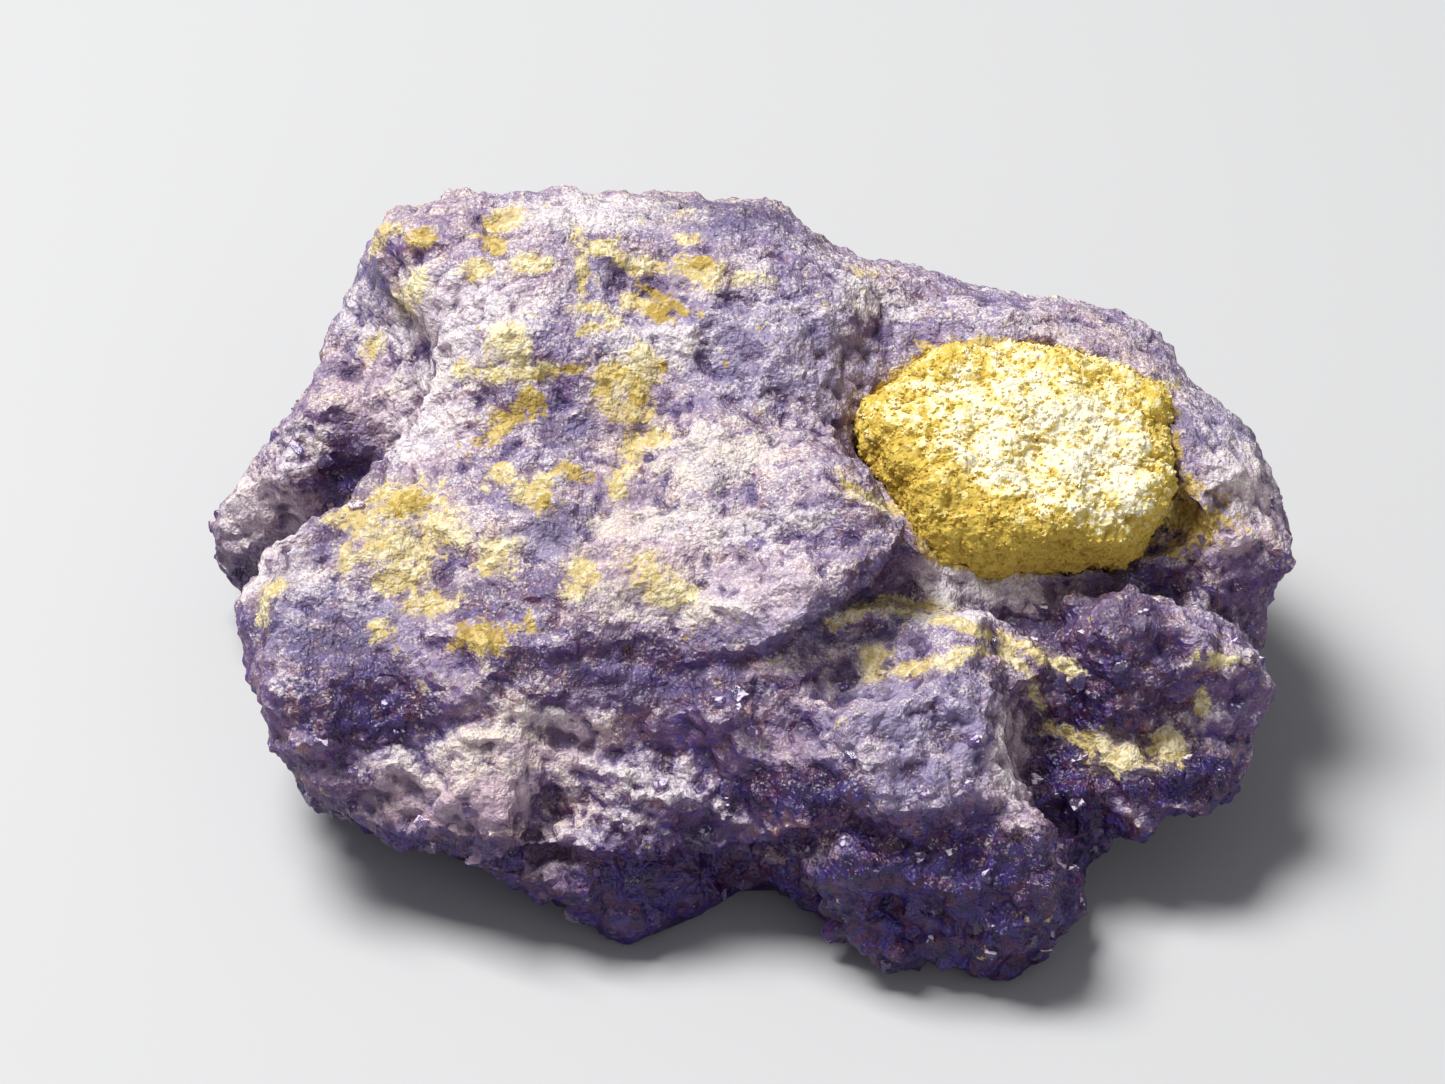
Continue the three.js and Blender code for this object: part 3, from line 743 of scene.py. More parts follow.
    def move(self, by: np.ndarray) -> None:
        """Moves the points, each by its own row."""
        self.points += by
        self.lay_out()

    def write(self) -> None:
        """Puts the points back on the mesh, with none under the floor."""
        self.points[:, 2] = np.maximum(self.points[:, 2], 0.0)
        self.piece.data.vertices.foreach_set("co", self.points.astype(np.float32).ravel())
        self.piece.data.update()


def paint_patches(piece: bpy.types.Object) -> None:
    """Keeps the closeness to each tint's patches and bands on the points of a mesh.

    Args:
        piece: the mesh object.
    """
    slope = Slope(piece)
    layers = piece.data.attributes
    for tint, patches in PATCHES.items():
        closeness = np.maximum(slope.in_patches(patches), slope.in_bands(BANDS.get(tint, ())))
        layer = layers.get(tint.value) or layers.new(tint.value, "FLOAT", "POINT")
        layer.data.foreach_set("value", closeness.astype(np.float32))


# ---- finishes ----


class Paint(Graph):
    """A new material's nodes, with the places and sugary specks that every finish reads."""

    def __init__(self, name: str) -> None:
        """Starts the material.

        Args:
            name: name of the material.
        """
        self.material = bpy.data.materials.new(name)
        self.material.use_nodes = True
        super().__init__(self.material.node_tree)
        self.at = self.add("ShaderNodeTexCoord", {}).outputs["Object"]
        self.across, _, self.height = self.channels(self.at)
        self.up = self.channels(self.add("ShaderNodeNewGeometry", {}).outputs["Normal"])[2]
        self.sugar = self.dice(self.warped(self.at, 0.6 * MM, 0.3 * MM), 0.2 * MM)

    def kept(self, name: str) -> Socket:
        """Returns a number that is kept on the mesh under a name."""
        return self.add("ShaderNodeAttribute", {}, attribute_name=name).outputs["Fac"]

    def finish(self, relief: Socket, strength: float, inputs: Inputs) -> bpy.types.Material:
        """Joins the shader up.

        Args:
            relief: height of the relief that is finer than the mesh, in metres.
            strength: how much of that relief shows.
            inputs: what the shader's other inputs get.

        Returns:
            The material.
        """
        bump = self.add("ShaderNodeBump", {"Strength": strength, "Distance": 1.0, "Height": relief})
        self.join(self.tree.nodes["Principled BSDF"], {**inputs, "Normal": bump.outputs[0]})
        return self.material


class MassPaint(Paint):
    """The mass's nodes, with the grains, clouds and streaks that its layers share."""

    def __init__(self) -> None:
        """Starts the material and lays its patterns down."""
        super().__init__("coquimbite")
        self.facing = self.ramp(self.up, 0.1, 0.9)
        self.swell, self.rugged, self.tone = map(self.kept, ("swell", "rugged", "tone"))
        self.jumbled = self.warped(self.at, 1.5 * MM, 0.8 * MM)
        self.grain = self.dice(self.jumbled, 0.55 * MM)
        self.tiny = self.dice(self.at, 0.1 * MM)
        self.broad = self.noise(self.at, 9 * MM, 3.0)
        self.middling = self.noise(self.at, 2.6 * MM, 4.0, 0.6)
        self.fine = self.noise(self.at, 0.5 * MM, 5.0, 0.7)
        turn = (0.0, 0.0, math.radians(14))
        lying = {"Vector": self.at, "Rotation": turn, "Scale": (0.35, 1.3, 1.3)}
        laid = self.add("ShaderNodeMapping", lying).outputs[0]
        self.streak = self.noise(laid, 1.3 * MM, 4.0, 0.65)
        edge = self.total((self.noise(self.at, 1.6 * MM, 6.0, 0.68), 1.0), (self.sugar[1], 0.2))
        self.wander = self.less(edge, 0.6)
        self.blueish = self.mask(Tint.BLUE, self.wander, 0.42, 0.15)

    def mask(self, tint: Tint, ragged: Socket, edge: float, width: float) -> Socket:
        """Builds a ragged mask from a tint's patches.

        Args:
            tint: which patches.
            ragged: how far the patch's edge wanders at each place, as closeness.
            edge: closeness at which the patch ends.
            width: closeness over which it fades.

        Returns:
            0 off the patches to 1 on them.
        """
        return self.ramp(self.plus(self.kept(tint.value), ragged), edge - width, edge + width)


@dataclass(frozen=True)
class CoquimbiteFinish:
    """Granular purple crystal under white dust and thin yellow crust, with painted shade, glints
    and highlights.

    Each share is how much of a layer covers what is under it.
    """

    lavender: Colour = (0.34, 0.25, 0.375)
    violet: Colour = (0.15, 0.073, 0.20)
    # deep and indigo make the dark body, which is deep violet crystal and also painted shade; the
    # vivid indigo below it is painted glints
    deep: Colour = (0.024, 0.006, 0.09)
    indigo: Colour = (0.062, 0.028, 0.27)
    glint_indigo: Colour = (0.035, 0.018, 0.34)
    rust: Colour = (0.30, 0.13, 0.14)
    maroon: Colour = (0.115, 0.018, 0.08)
    blue: Colour = (0.31, 0.27, 0.45)
    pink: Colour = (0.66, 0.48, 0.54)
    tan: Colour = (0.56, 0.42, 0.33)
    film: Colour = (0.48, 0.41, 0.55)
    warm_film: Colour = (0.64, 0.45, 0.45)
    pale_film: Colour = (0.84, 0.74, 0.74)
    dust: Colour = (0.90, 0.845, 0.82)
    straw_dust: Colour = (0.88, 0.80, 0.62)
    crust: Colour = (0.68, 0.52, 0.18)
    crust_highlight: Colour = (0.93, 0.83, 0.54)
    ochre: Colour = (0.44, 0.29, 0.05)
    ochre_highlight: Colour = (0.74, 0.56, 0.19)
    brown: Colour = (0.12, 0.05, 0.07)
    blue_share: float = 0.6
    pink_share: float = 0.65
    dark_body_share: float = 0.93
    brown_share: float = 0.6
    tan_share: float = 0.35
    film_share: float = 0.72
    worn_share: float = 0.3
    dust_share: float = 0.75
    crust_share: float = 0.9
    ochre_share: float = 0.92
    clearness: float = 0.4
    ior: float = 1.55
    specular: float = 0.4
    bump: float = 0.85
    grit: Grain = Grain(0.4 * MM, 0.12 * MM)
    fine_grit: Grain = Grain(0.18 * MM, 0.06 * MM)
    pitting: float = 0.13 * MM

    def crystal(self, g: MassPaint) -> Socket:
        """Colours the crystal, from clear deep violet to milky lavender.

        Args:
            g: nodes of the mass.

        Returns:
            The colour.
        """
        milky = g.total(
            (g.broad, 0.8), (g.middling, 0.6), (g.tone, 0.3), (g.grain[0], 0.35),
            (g.sugar[0], 0.25), (g.streak, 0.3), (g.facing, 0.35),
        )
        colour = g.mix(g.ramp(milky, 1.32, 1.85), self.violet, self.lavender)
        colour = g.mix(g.ramp(g.grain[1], 0.7, 0.95, 0, 0.6), colour, self.indigo)
        rusty = g.total((g.middling, 1.0), (g.grain[2], 0.2))
        colour = g.mix(g.ramp(rusty, 0.62, 0.75, 0, 0.75), colour, self.rust)
        colour = g.mix(g.times(g.blueish, self.blue_share), colour, self.blue)
        pinkish = g.mask(Tint.PINK, g.wander, 0.42, 0.15)
        return g.mix(g.times(pinkish, self.pink_share), colour, self.pink)

    def bare_and_shaded(self, g: MassPaint) -> Socket:
        """Masks the clean broken faces, which are low down, under ledges and in hollows, where the
        dark body also stands for painted shade.

        Args:
            g: nodes of the mass.

        Returns:
            0 to 1 on them.
        """
        # painted shade as well as clean crystal: faces that look down near the foot, the deep
        # patches and the hollows all take the dark body
        under = g.times(g.ramp(g.up, 0.55, 0.1), g.ramp(g.height, 10 * MM, 4 * MM))
        deep = g.mask(Tint.DEEP, g.wander, 0.40, 0.16)
        deep = g.times(deep, g.ramp(g.height, 16 * MM, 9 * MM, 0.5, 1.0))
        return g.most(g.most(under, deep), g.ramp(g.swell, 0.0, -1.2, 0, 0.7))

    def cleaned(self, g: MassPaint, colour: Socket, bare_and_shaded: Socket) -> Socket:
        """Lays the dark body of clean crystal in, which is also painted shade, with painted glints
        near the foot, and browns some of its hollows.

        Args:
            g: nodes of the mass.
            colour: what is under it.
            bare_and_shaded: mask of the clean faces and of the painted shade.

        Returns:
            The colour.
        """
        patchy = g.total((g.middling, 1.0), (g.grain[0], 0.3))
        body = g.mix(g.ramp(patchy, 0.5, 0.8), self.deep, self.indigo)
        warm = g.total((g.streak, 1.0), (g.grain[2], 0.3))
        body = g.mix(g.ramp(warm, 0.6, 0.8, 0, 0.75), body, self.maroon)
        # painted glints: vivid indigo along bright streaks on the low clean faces
        lit = g.ramp(g.total((g.streak, 0.8), (g.middling, 0.5), (g.grain[1], 0.25)), 0.84, 1.0)
        body = g.mix(g.times(lit, g.ramp(g.height, 8 * MM, 5 * MM, 0, 0.8)), body, self.glint_indigo)
        colour = g.mix(g.times(bare_and_shaded, self.dark_body_share), colour, body)
        hollow_brown = g.times(g.ramp(g.swell, -0.6, -1.8), g.ramp(g.middling, 0.45, 0.6))
        return g.mix(g.times(hollow_brown, self.brown_share), colour, self.brown)

    def dusted(self, g: MassPaint, colour: Socket, bare_and_shaded: Socket) -> tuple[Socket, Socket]:
        """Lays a thin film and white specks on, most on what looks up and in their patches.

        Args:
            g: nodes of the mass.
            colour: what is under them.
            bare_and_shaded: mask of the clean faces and of the painted shade.

        Returns:
            The colour, and the mask of the specks.
        """
        heavy = g.mask(Tint.DUST, g.wander, 0.42, 0.15)
        heavy = g.times(heavy, g.ramp(g.height, 5 * MM, 12 * MM, 0.65, 1.0))
        halo = g.mask(Tint.CRUST, g.wander, 0.34, 0.2)
        cover = g.total(
            (g.facing, 0.3), (heavy, 0.27), (g.middling, 0.8), (g.streak, 0.8), (g.tone, 0.12),
            (bare_and_shaded, -0.36), (g.blueish, -0.04), (g.rugged, -0.11), (g.swell, 0.05),
        )
        colour = g.mix(g.times(halo, self.tan_share), colour, self.tan)

        thick = g.total((cover, 1.0), (g.sugar[0], 0.2), (g.fine, 0.5), (heavy, 0.12))
        worn = g.times(g.facing, g.less(1.0, bare_and_shaded))
        veil = g.most(g.ramp(thick, 1.3, 1.82, 0, self.film_share), g.times(worn, self.worn_share))
        warm = g.ramp(g.total((g.broad, 0.6), (g.streak, 0.6), (g.grain[1], 0.12)), 0.58, 0.78)
        film = g.mix(warm, self.film, self.warm_film)
        colour = g.mix(veil, colour, g.mix(g.times(heavy, 0.4), film, self.pale_film))

        speck = g.total((g.sugar[2], 0.22), (g.tiny[0], 0.7), (g.fine, 0.5))
        dusty = g.ramp(g.total((cover, 1.0), (speck, 1.0)), 1.8, 2.38)
        yellowed = g.ramp(g.total((halo, 0.25), (g.broad, 1.0), (g.fine, 0.2)), 0.52, 0.8)
        powder = g.mix(yellowed, self.dust, self.straw_dust)
        return g.mix(g.times(dusty, self.dust_share), colour, powder), dusty

    def crumbed_and_glinted(self, g: MassPaint, colour: Socket) -> Socket:
        """Scatters white specks over the higher faces, crumbs of dust that are partly painted
        glints.

        Args:
            g: nodes of the mass.
            colour: what is under them.

        Returns:
            The colour.
        """
        crumbs = g.dice(g.warped(g.at, 0.5 * MM, 0.4 * MM), 0.12 * MM)
        # white specks: crumbs of dust, and painted glints
        specks_and_glints = g.ramp(g.total((crumbs[0], 0.8), (g.streak, 0.5), (g.middling, 0.4)), 1.16, 1.24)
        specks_and_glints = g.times(specks_and_glints, g.ramp(g.up, 0.0, 0.5, 0.05, 0.55))
        specks_and_glints = g.times(specks_and_glints, g.ramp(g.height, 4 * MM, 9 * MM, 0.1, 1.0))
        return g.mix(specks_and_glints, colour, self.dust)

    def crusted(self, g: MassPaint, colour: Socket) -> tuple[Socket, Socket]:
        """Lays the thin yellow crust on, then the thicker ochre, both with painted highlights.

        Args:
            g: nodes of the mass.
            colour: what is under them.

        Returns:
            The colour, and the mask of both.
        """
        torn = g.noise(g.warped(g.at, 1.2 * MM, 0.8 * MM), 1.2 * MM, 6.0, 0.64)
        nibbled = g.noise(g.at, 0.32 * MM, 4.0, 0.7)
        tatter = g.less(g.total((torn, 2.2), (nibbled, 0.65), (g.sugar[1], 0.25)), 1.56)
        spots = g.noise(g.at, 2.4 * MM, 6.0, 0.75)
        spots = g.total((spots, 1.0), (g.sugar[1], 0.04), (g.tiny[1], 0.04))
        upper = g.times(g.facing, g.ramp(g.height, 9 * MM, 15 * MM))
        stray = g.times(g.ramp(spots, 0.66, 0.72), upper)
        crusty = g.most(g.mask(Tint.CRUST, tatter, 0.5, 0.11), stray)
        crusty = g.times(crusty, g.ramp(g.fine, 0.34, 0.48, 0.5, 1.0))
        # painted highlights: paler crust and ochre where the noise runs high
        high = g.total((g.fine, 0.7), (g.sugar[0], 0.25), (g.middling, 0.6), (g.swell, 0.04))
        lights = g.ramp(high, 0.68, 0.94)
        crust = g.mix(lights, self.crust, self.crust_highlight)
        colour = g.mix(g.times(crusty, self.crust_share), colour, crust)
        ochry = g.mask(Tint.OCHRE, tatter, 0.5, 0.1)
        ochre = g.mix(lights, self.ochre, self.ochre_highlight)
        return g.mix(g.times(ochry, self.ochre_share), colour, ochre), g.most(crusty, ochry)

    def relief(self, g: MassPaint) -> Socket:
        """Raises grains finer than the mesh, lower near the foot.

        Args:
            g: nodes of the mass.

        Returns:
            The height in metres.
        """
        jumbled = g.grains(g.jumbled, self.grit)
        finely = g.grains(g.warped(g.at, 0.6 * MM, 0.3 * MM), self.fine_grit)
        grains = g.times(g.plus(jumbled, finely), g.ramp(g.height, 2 * MM, 8 * MM, 0.75, 1.0))
        return g.total((grains, 1.0), (g.fine, self.pitting))

    def build(self) -> bpy.types.Material:
        """Builds the material, layer by layer from the crystal outwards.

        Returns:
            The material.
        """
        g = MassPaint()
        bare_and_shaded = self.bare_and_shaded(g)
        colour, dusty = self.dusted(g, self.cleaned(g, self.crystal(g), bare_and_shaded), bare_and_shaded)
        colour, coat = self.crusted(g, self.crumbed_and_glinted(g, colour))
        powder = g.most(coat, g.times(dusty, 0.8))
        clean = g.less(1.0, powder)
        shine = g.times(clean, g.most(bare_and_shaded, g.ramp(g.grain[2], 0.6, 0.8)))
        rough = g.total((g.ramp(shine, 0.0, 1.0, 0.6, 0.24), 1.0), (powder, 0.3))
        clear = g.times(g.times(bare_and_shaded, clean), self.clearness)
        inputs = {
            "Base Color": colour,
            "Roughness": rough,
            "Transmission Weight": clear,
            "IOR": self.ior,
            "Specular IOR Level": self.specular,
        }
        return g.finish(self.relief(g), self.bump, inputs)


@dataclass(frozen=True)
class ClearFinish:
    """Clean violet crystal that light goes through, with a little dust on top."""

    violet: Colour = (0.66, 0.50, 0.80)
    indigo: Colour = (0.40, 0.30, 0.68)
    dust: Colour = (0.80, 0.70, 0.74)
    ior: float = 1.54
    bump: float = 0.5
    pitting: float = 0.08 * MM

    def build(self) -> bpy.types.Material:
        """Builds the material.

        Returns:
            The material.
        """
        g = Paint("clear_coquimbite")
        middling = g.noise(g.at, 3 * MM, 3.0, 0.6)
        fine = g.noise(g.at, 0.4 * MM, 5.0, 0.7)
        colour = g.mix(g.ramp(middling, 0.4, 0.62), self.indigo, self.violet)
        looking_up = g.ramp(g.up, 0.3, 1.0)
        reach = g.total((fine, 0.7), (g.sugar[0], 0.4), (middling, 0.6), (looking_up, 0.3))
        dusty = g.ramp(reach, 1.05, 1.35)
        inputs = {
            "Base Color": g.mix(dusty, colour, self.dust),
            "Roughness": g.ramp(dusty, 0.0, 1.0, 0.14, 0.85),
            "Transmission Weight": g.ramp(dusty, 0.0, 0.6, 0.9, 0.0),
            "IOR": self.ior,
        }
        return g.finish(g.times(fine, self.pitting), self.bump, inputs)


@dataclass(frozen=True)
class SulphateFinish:
    """Dull granular mustard yellow, cream where it looks up, partly as painted light, with painted
    shade in its hollows, its pits and the lower right of its rim.
    """

    cream: Colour = (0.95, 0.87, 0.66)
    straw: Colour = (0.90, 0.75, 0.30)
    mustard: Colour = (0.74, 0.53, 0.09)
    shade: Colour = (0.42, 0.26, 0.03)
    grit: Grain = Grain(0.16 * MM, 0.07 * MM)
    pitting: float = 0.1 * MM
    bump: float = 0.6
    slope_rise: Pair = (0.616, 0.788)

    def climb(self, g: Paint, lean: float) -> Socket:
        """Returns metres up the front slope, and lean times metres along it."""
        return g.dot(g.at, (lean, *self.slope_rise))

    def build(self) -> bpy.types.Material:
        """Builds the material.

        Returns:
            The material.
        """
        g = Paint("yellow_sulphate")
        swell = g.kept("swell")
        fine = g.noise(g.at, 0.35 * MM, 5.0, 0.7)
        blotch = g.noise(g.at, 0.9 * MM, 4.0, 0.6)
        broad = g.noise(g.at, 2.2 * MM, 4.0, 0.6)
        right = g.ramp(g.across, 7 * MM, 12.5 * MM, -0.3, 0.06)
        above_foot = g.ramp(self.climb(g, 0.4), 16 * MM, 19 * MM, -0.3, 0.04)

        # less cream at the top, the right and the bottom of its rim: an ochre rim, whose right and
        # bottom are also painted shade
        rim = g.total(
            (g.ramp(self.climb(g, 0.25), 20.4 * MM, 22.4 * MM), -0.22),
            (g.ramp(g.across, 18.6 * MM, 20.8 * MM), -0.24),
            (g.ramp(self.climb(g, 0.0), 11.6 * MM, 9.6 * MM), -0.26),
        )
        # looking up adds cream: partly its cream top, partly painted light
        reach = g.total(
            (fine, 0.5), (broad, 0.7), (blotch, 1.25), (g.sugar[0], 0.26), (right, 1.0),
            (above_foot, 1.0), (swell, 0.1), (g.ramp(g.up, 0.3, 0.95), 0.3), (rim, 1.0),
        )
        pits = g.total((g.sugar[1], 0.5), (fine, 1.0), (above_foot, 0.4), (right, 0.4))
        # painted shade: the shade colour goes into the hollows, then into the fine pits
        colour = g.mix(g.ramp(swell, 0.0, -1.0), self.mustard, self.shade)
        colour = g.mix(g.times(g.ramp(pits, 0.62, 0.45), 0.6), colour, self.shade)
        colour = g.mix(g.ramp(reach, 1.31, 1.55), colour, self.straw)
        colour = g.mix(g.ramp(reach, 1.48, 1.74), colour, self.cream)
        relief = g.plus(g.grains(g.at, self.grit), g.times(fine, self.pitting))
        dull = g.ramp(fine, 0.3, 0.7, 0.75, 0.95)
        return g.finish(relief, self.bump, {"Base Color": colour, "Roughness": dull})


# ---- pieces ----


@dataclass
class CoquimbiteMass:
    """The purple mass, remodelled over its solid with broken crystal relief.

    The solid is first remeshed, worn and given its ledges, then broken into flat chips,
    then remeshed finely and covered with grains. Lumps and ripples have one height where
    the mass is worn and one where it is coarsely broken. The relief fades out between the
    two heights of the foot, so that the mass still stands flat.
    """

    rough_voxel: float = 0.3 * MM
    voxel: float = 0.17 * MM
    faces: int = 190_000
    chips: int = 7_000
    lump: float = 3.4 * MM
    lump_heights: Pair = (0.9 * MM, 2.6 * MM)
    ripple: float = 1.5 * MM
    ripple_heights: Pair = (0.9 * MM, 1.2 * MM)
    grain: Grain = Grain(0.95 * MM, 0.3 * MM)
    small_grain: Grain = Grain(0.5 * MM, 0.13 * MM)
    block: Grain = Grain(2 * MM, 0.62 * MM)
    bumps: Grain = Grain(1.2 * MM, 0.5 * MM)
    foot: Pair = (0.1 * MM, 0.9 * MM)
    crease: float = 32
    worn_rounds: int = 24
    healed: Patch = (-16.2, 20.5, 3.4, 4.2, 0)
    healed_rounds: int = 500
    finish: CoquimbiteFinish = field(default_factory=CoquimbiteFinish)

    def wear(self, piece: bpy.types.Object) -> None:
        """Smooths the mass where it isn't coarsely broken, and one grown-over patch fully.

        Args:
            piece: the mass.
        """
        slope = Slope(piece)
        coarse = slope.in_patches(PATCHES[Tint.COARSE])
        high = np.clip(slope.points[:, 2] / MM / 6 - 0.5, 0, 1)
        inside = slope.in_patches((self.healed,)) > 0.45
        smooth(piece, self.worn_rounds, np.clip(1.4 - 2 * coarse, 0, 1) * high)
        smooth(piece, self.healed_rounds, inside.astype(float))

    def raise_ledges(self, piece: bpy.types.Object) -> None:
        """Moves the points of the mass to the heights of its ledges and spurs.

        Args:
            piece: the mass.
        """
        slope = Slope(piece)
        for ledge in LEDGES.values():
            slope.move(slope.ledge(ledge))
        for spur in SPURS.values():
            slope.move(slope.spur(spur))
        slope.write()

    def coarseness(self, g: MeshGraph) -> Socket:
        """Tells where the crystal is clean and coarsely broken.

        Args:
            g: nodes of the mass.

        Returns:
            1 there, 0 where it is worn.
        """
        patch = g.ramp(g.kept(Tint.COARSE.value), 0.3, 0.7)
        spread = g.noise(g.place, 9 * MM, 2.0)
        low = g.plus(g.ramp(g.above, 9 * MM, 3 * MM, -0.2, 0.3), spread)
        behind = g.plus(spread, g.ramp(g.channels(g.normal)[1], 0.1, 0.6, -0.2, 0.14))
        return g.most(patch, g.ramp(g.most(low, behind), 0.55, 0.75))

    def lumps(self) -> MeshGraph:
        """Builds the nodes that roughen the mass, most where it is coarsely broken.

        Returns:
            The nodes.
        """
        g = MeshGraph("lumpy_mass")
        coarse = self.coarseness(g)
        lumps = g.times(g.swing(self.lump, 2.0), g.ramp(coarse, 0, 1, *self.lump_heights))
        ripples = g.times(g.swing(self.ripple, 2.0), g.ramp(coarse, 0, 1, *self.ripple_heights))
        g.move(g.times(g.plus(lumps, ripples), g.ramp(g.above, *self.foot)))
        return g

    def relief(self) -> MeshGraph:
        """Builds the nodes that cover the mass with grains and keep what its finish reads.

        Returns:
            The nodes.
        """
        g = MeshGraph("broken_relief")
        jumbled = g.warped(g.place, 4 * MM, 2.2 * MM)
        coarse = self.coarseness(g)
        blocks = g.grains(g.warped(g.place, 5 * MM, 2.5 * MM), self.block)
        blocks = g.times(blocks, g.ramp(g.above, 8 * MM, 4 * MM))
        small = g.grains(g.warped(g.place, 1.6 * MM, 0.9 * MM), self.small_grain)
        height = g.plus(g.grains(jumbled, self.grain), small)
        height = g.times(height, g.ramp(coarse, 0, 1, 0.8, 0.95))
        bumps = g.swing(self.bumps.size, 4.0, 0.6)
        height = g.plus(height, g.times(bumps, self.bumps.tall))
        height = g.plus(height, g.times(blocks, coarse))
        g.move(g.times(height, g.ramp(g.above, *self.foot)), lowest=0.0)
        g.keep("swell", g.swell(24, 0.12 * MM))
        g.keep("tone", g.dice(jumbled, self.grain.size)[0])
        g.keep("rugged", coarse)
        return g

    def build(self) -> bpy.types.Object:
        """Models the mass and dresses it.

        Returns:
            The piece.
        """
        piece = merged_copy("coquimbite_mass", "purple_mass")
        apply_modifier(piece, "REMESH", mode="VOXEL", voxel_size=self.rough_voxel)
        smooth(piece, 4)
        self.wear(piece)
        self.raise_ledges(piece)
        paint_patches(piece)
        self.lumps().apply(piece)
        thin(piece, self.chips)
        apply_modifier(piece, "REMESH", mode="VOXEL", voxel_size=self.voxel)
        smooth(piece, 1)
        paint_patches(piece)
        self.relief().apply(piece)
        thin(piece, self.faces)
        dress(piece, self.crease, self.finish.build())
        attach(piece, "root")
        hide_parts("coquimbite_mass")
        return piece


@dataclass
class CrystalGrains:
    """Small blocky crystals that stand out of a surface and are fused to it.

    They are spread evenly by area where evenness is 1. The nearer it is to 0, the more
    they keep to the coarsely broken places.
    """

    host: bpy.types.Object
    name: str
    slot: str
    count: int
    smallest: float
    largest: float
    seed: int
    evenness: float = 1.0
    sunk: float = 0.0
    full_turn: float = 6.28

    def block(self) -> bpy.types.Object:
        """Models one crystal: a block a unit across, with corners broken off.

        Returns:
            The block.
        """
        bpy.ops.object.select_all(action="DESELECT")
        bpy.ops.mesh.primitive_cube_add(size=1.0, location=(0, 0, 0))
        piece = bpy.context.object
        piece.name = self.name + "_block"
        cuts = (
            ((0.36, 0.3, 0.3), (1, 0.8, 1.1)),
            ((-0.3, 0.28, 0.33), (-1, 1.2, 0.7)),
            ((0.3, -0.33, -0.25), (0.8, -1, -1.2)),
            ((-0.35, -0.3, 0.3), (-0.9, -0.8, 1.4)),
        )
        for place, normal in cuts:
            only(piece)
            bpy.ops.object.mode_set(mode="EDIT")
            bpy.ops.mesh.select_all(action="SELECT")
            bpy.ops.mesh.bisect(plane_co=place, plane_no=normal, clear_outer=True, use_fill=True)
            bpy.ops.mesh.select_all(action="SELECT")
            bpy.ops.mesh.normals_make_consistent(inside=False)
            bpy.ops.object.mode_set(mode="OBJECT")
        return piece

    def random(self, g: Graph, low: float, high: float, salt: int) -> Socket:
        """Draws three random numbers for each crystal, the same at every run.

        Args:
            g: nodes that need them.
            low: least value.
            high: greatest value.
            salt: number of the draw.

        Returns:
            The numbers, as a vector.
        """
        inputs = {"Seed": self.seed * 10 + salt, 0: (low,) * 3, 1: (high,) * 3}
        return g.add("FunctionNodeRandomValue", inputs, data_type="FLOAT_VECTOR").outputs[0]

    def scatter(self, block: bpy.types.Object) -> MeshGraph:
        """Builds the nodes that spread copies of the block over the host.

        Args:
            block: the crystal to repeat.

        Returns:
            The nodes.
        """
        g = MeshGraph(self.name + "_scatter")
        host, crystal = (
            g.add("GeometryNodeObjectInfo", {"Object": piece}).outputs["Geometry"]
            for piece in (self.host, block)
        )
        area = sum(face.area for face in self.host.data.polygons)
        share = g.ramp(g.kept("rugged"), 0.0, 1.0, self.evenness, 1.0)
        inputs = {"Mesh": host, "Density": g.times(share, self.count / area), "Seed": self.seed}
        spread = g.add("GeometryNodeDistributePointsOnFaces", inputs)
        points = spread.outputs["Points"]
        # none so low that they would reach under the floor
        low = g.add("FunctionNodeCompare", {0: g.above, 1: self.largest}, operation="LESS_THAN")
        inputs = {"Geometry": points, "Selection": low.outputs[0]}
        points = g.add("GeometryNodeDeleteGeometry", inputs, domain="POINT").outputs[0]
        inwards = g.scaled(spread.outputs["Normal"], -self.sunk)
        inputs = {"Geometry": points, "Offset": inwards}
        points = g.add("GeometryNodeSetPosition", inputs).outputs[0]
        turn = self.random(g, 0, self.full_turn, 1)
        length = self.random(g, self.smallest, self.largest, 2)
        inputs = {"Points": points, "Instance": crystal, "Rotation": turn, "Scale": length}
        copies = g.add("GeometryNodeInstanceOnPoints", inputs).outputs[0]
        g.mesh = g.add("GeometryNodeRealizeInstances", {"Geometry": copies}).outputs[0]
        return g

    def build(self, material: bpy.types.Material) -> bpy.types.Object:
        """Spreads the crystals and dresses them.

        Args:
            material: finish of the crystals.

        Returns:
            The piece.
        """
        block = self.block()
        bpy.ops.object.select_all(action="DESELECT")
        bpy.ops.mesh.primitive_plane_add(size=MM)
        piece = bpy.context.object
        piece.name = self.name
        piece.data.name = self.name
        self.scatter(block).apply(piece)
        bpy.data.objects.remove(block, do_unlink=True)
        piece.data.materials.clear()
        piece.data.materials.append(material)
        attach(piece, "root")
        return piece


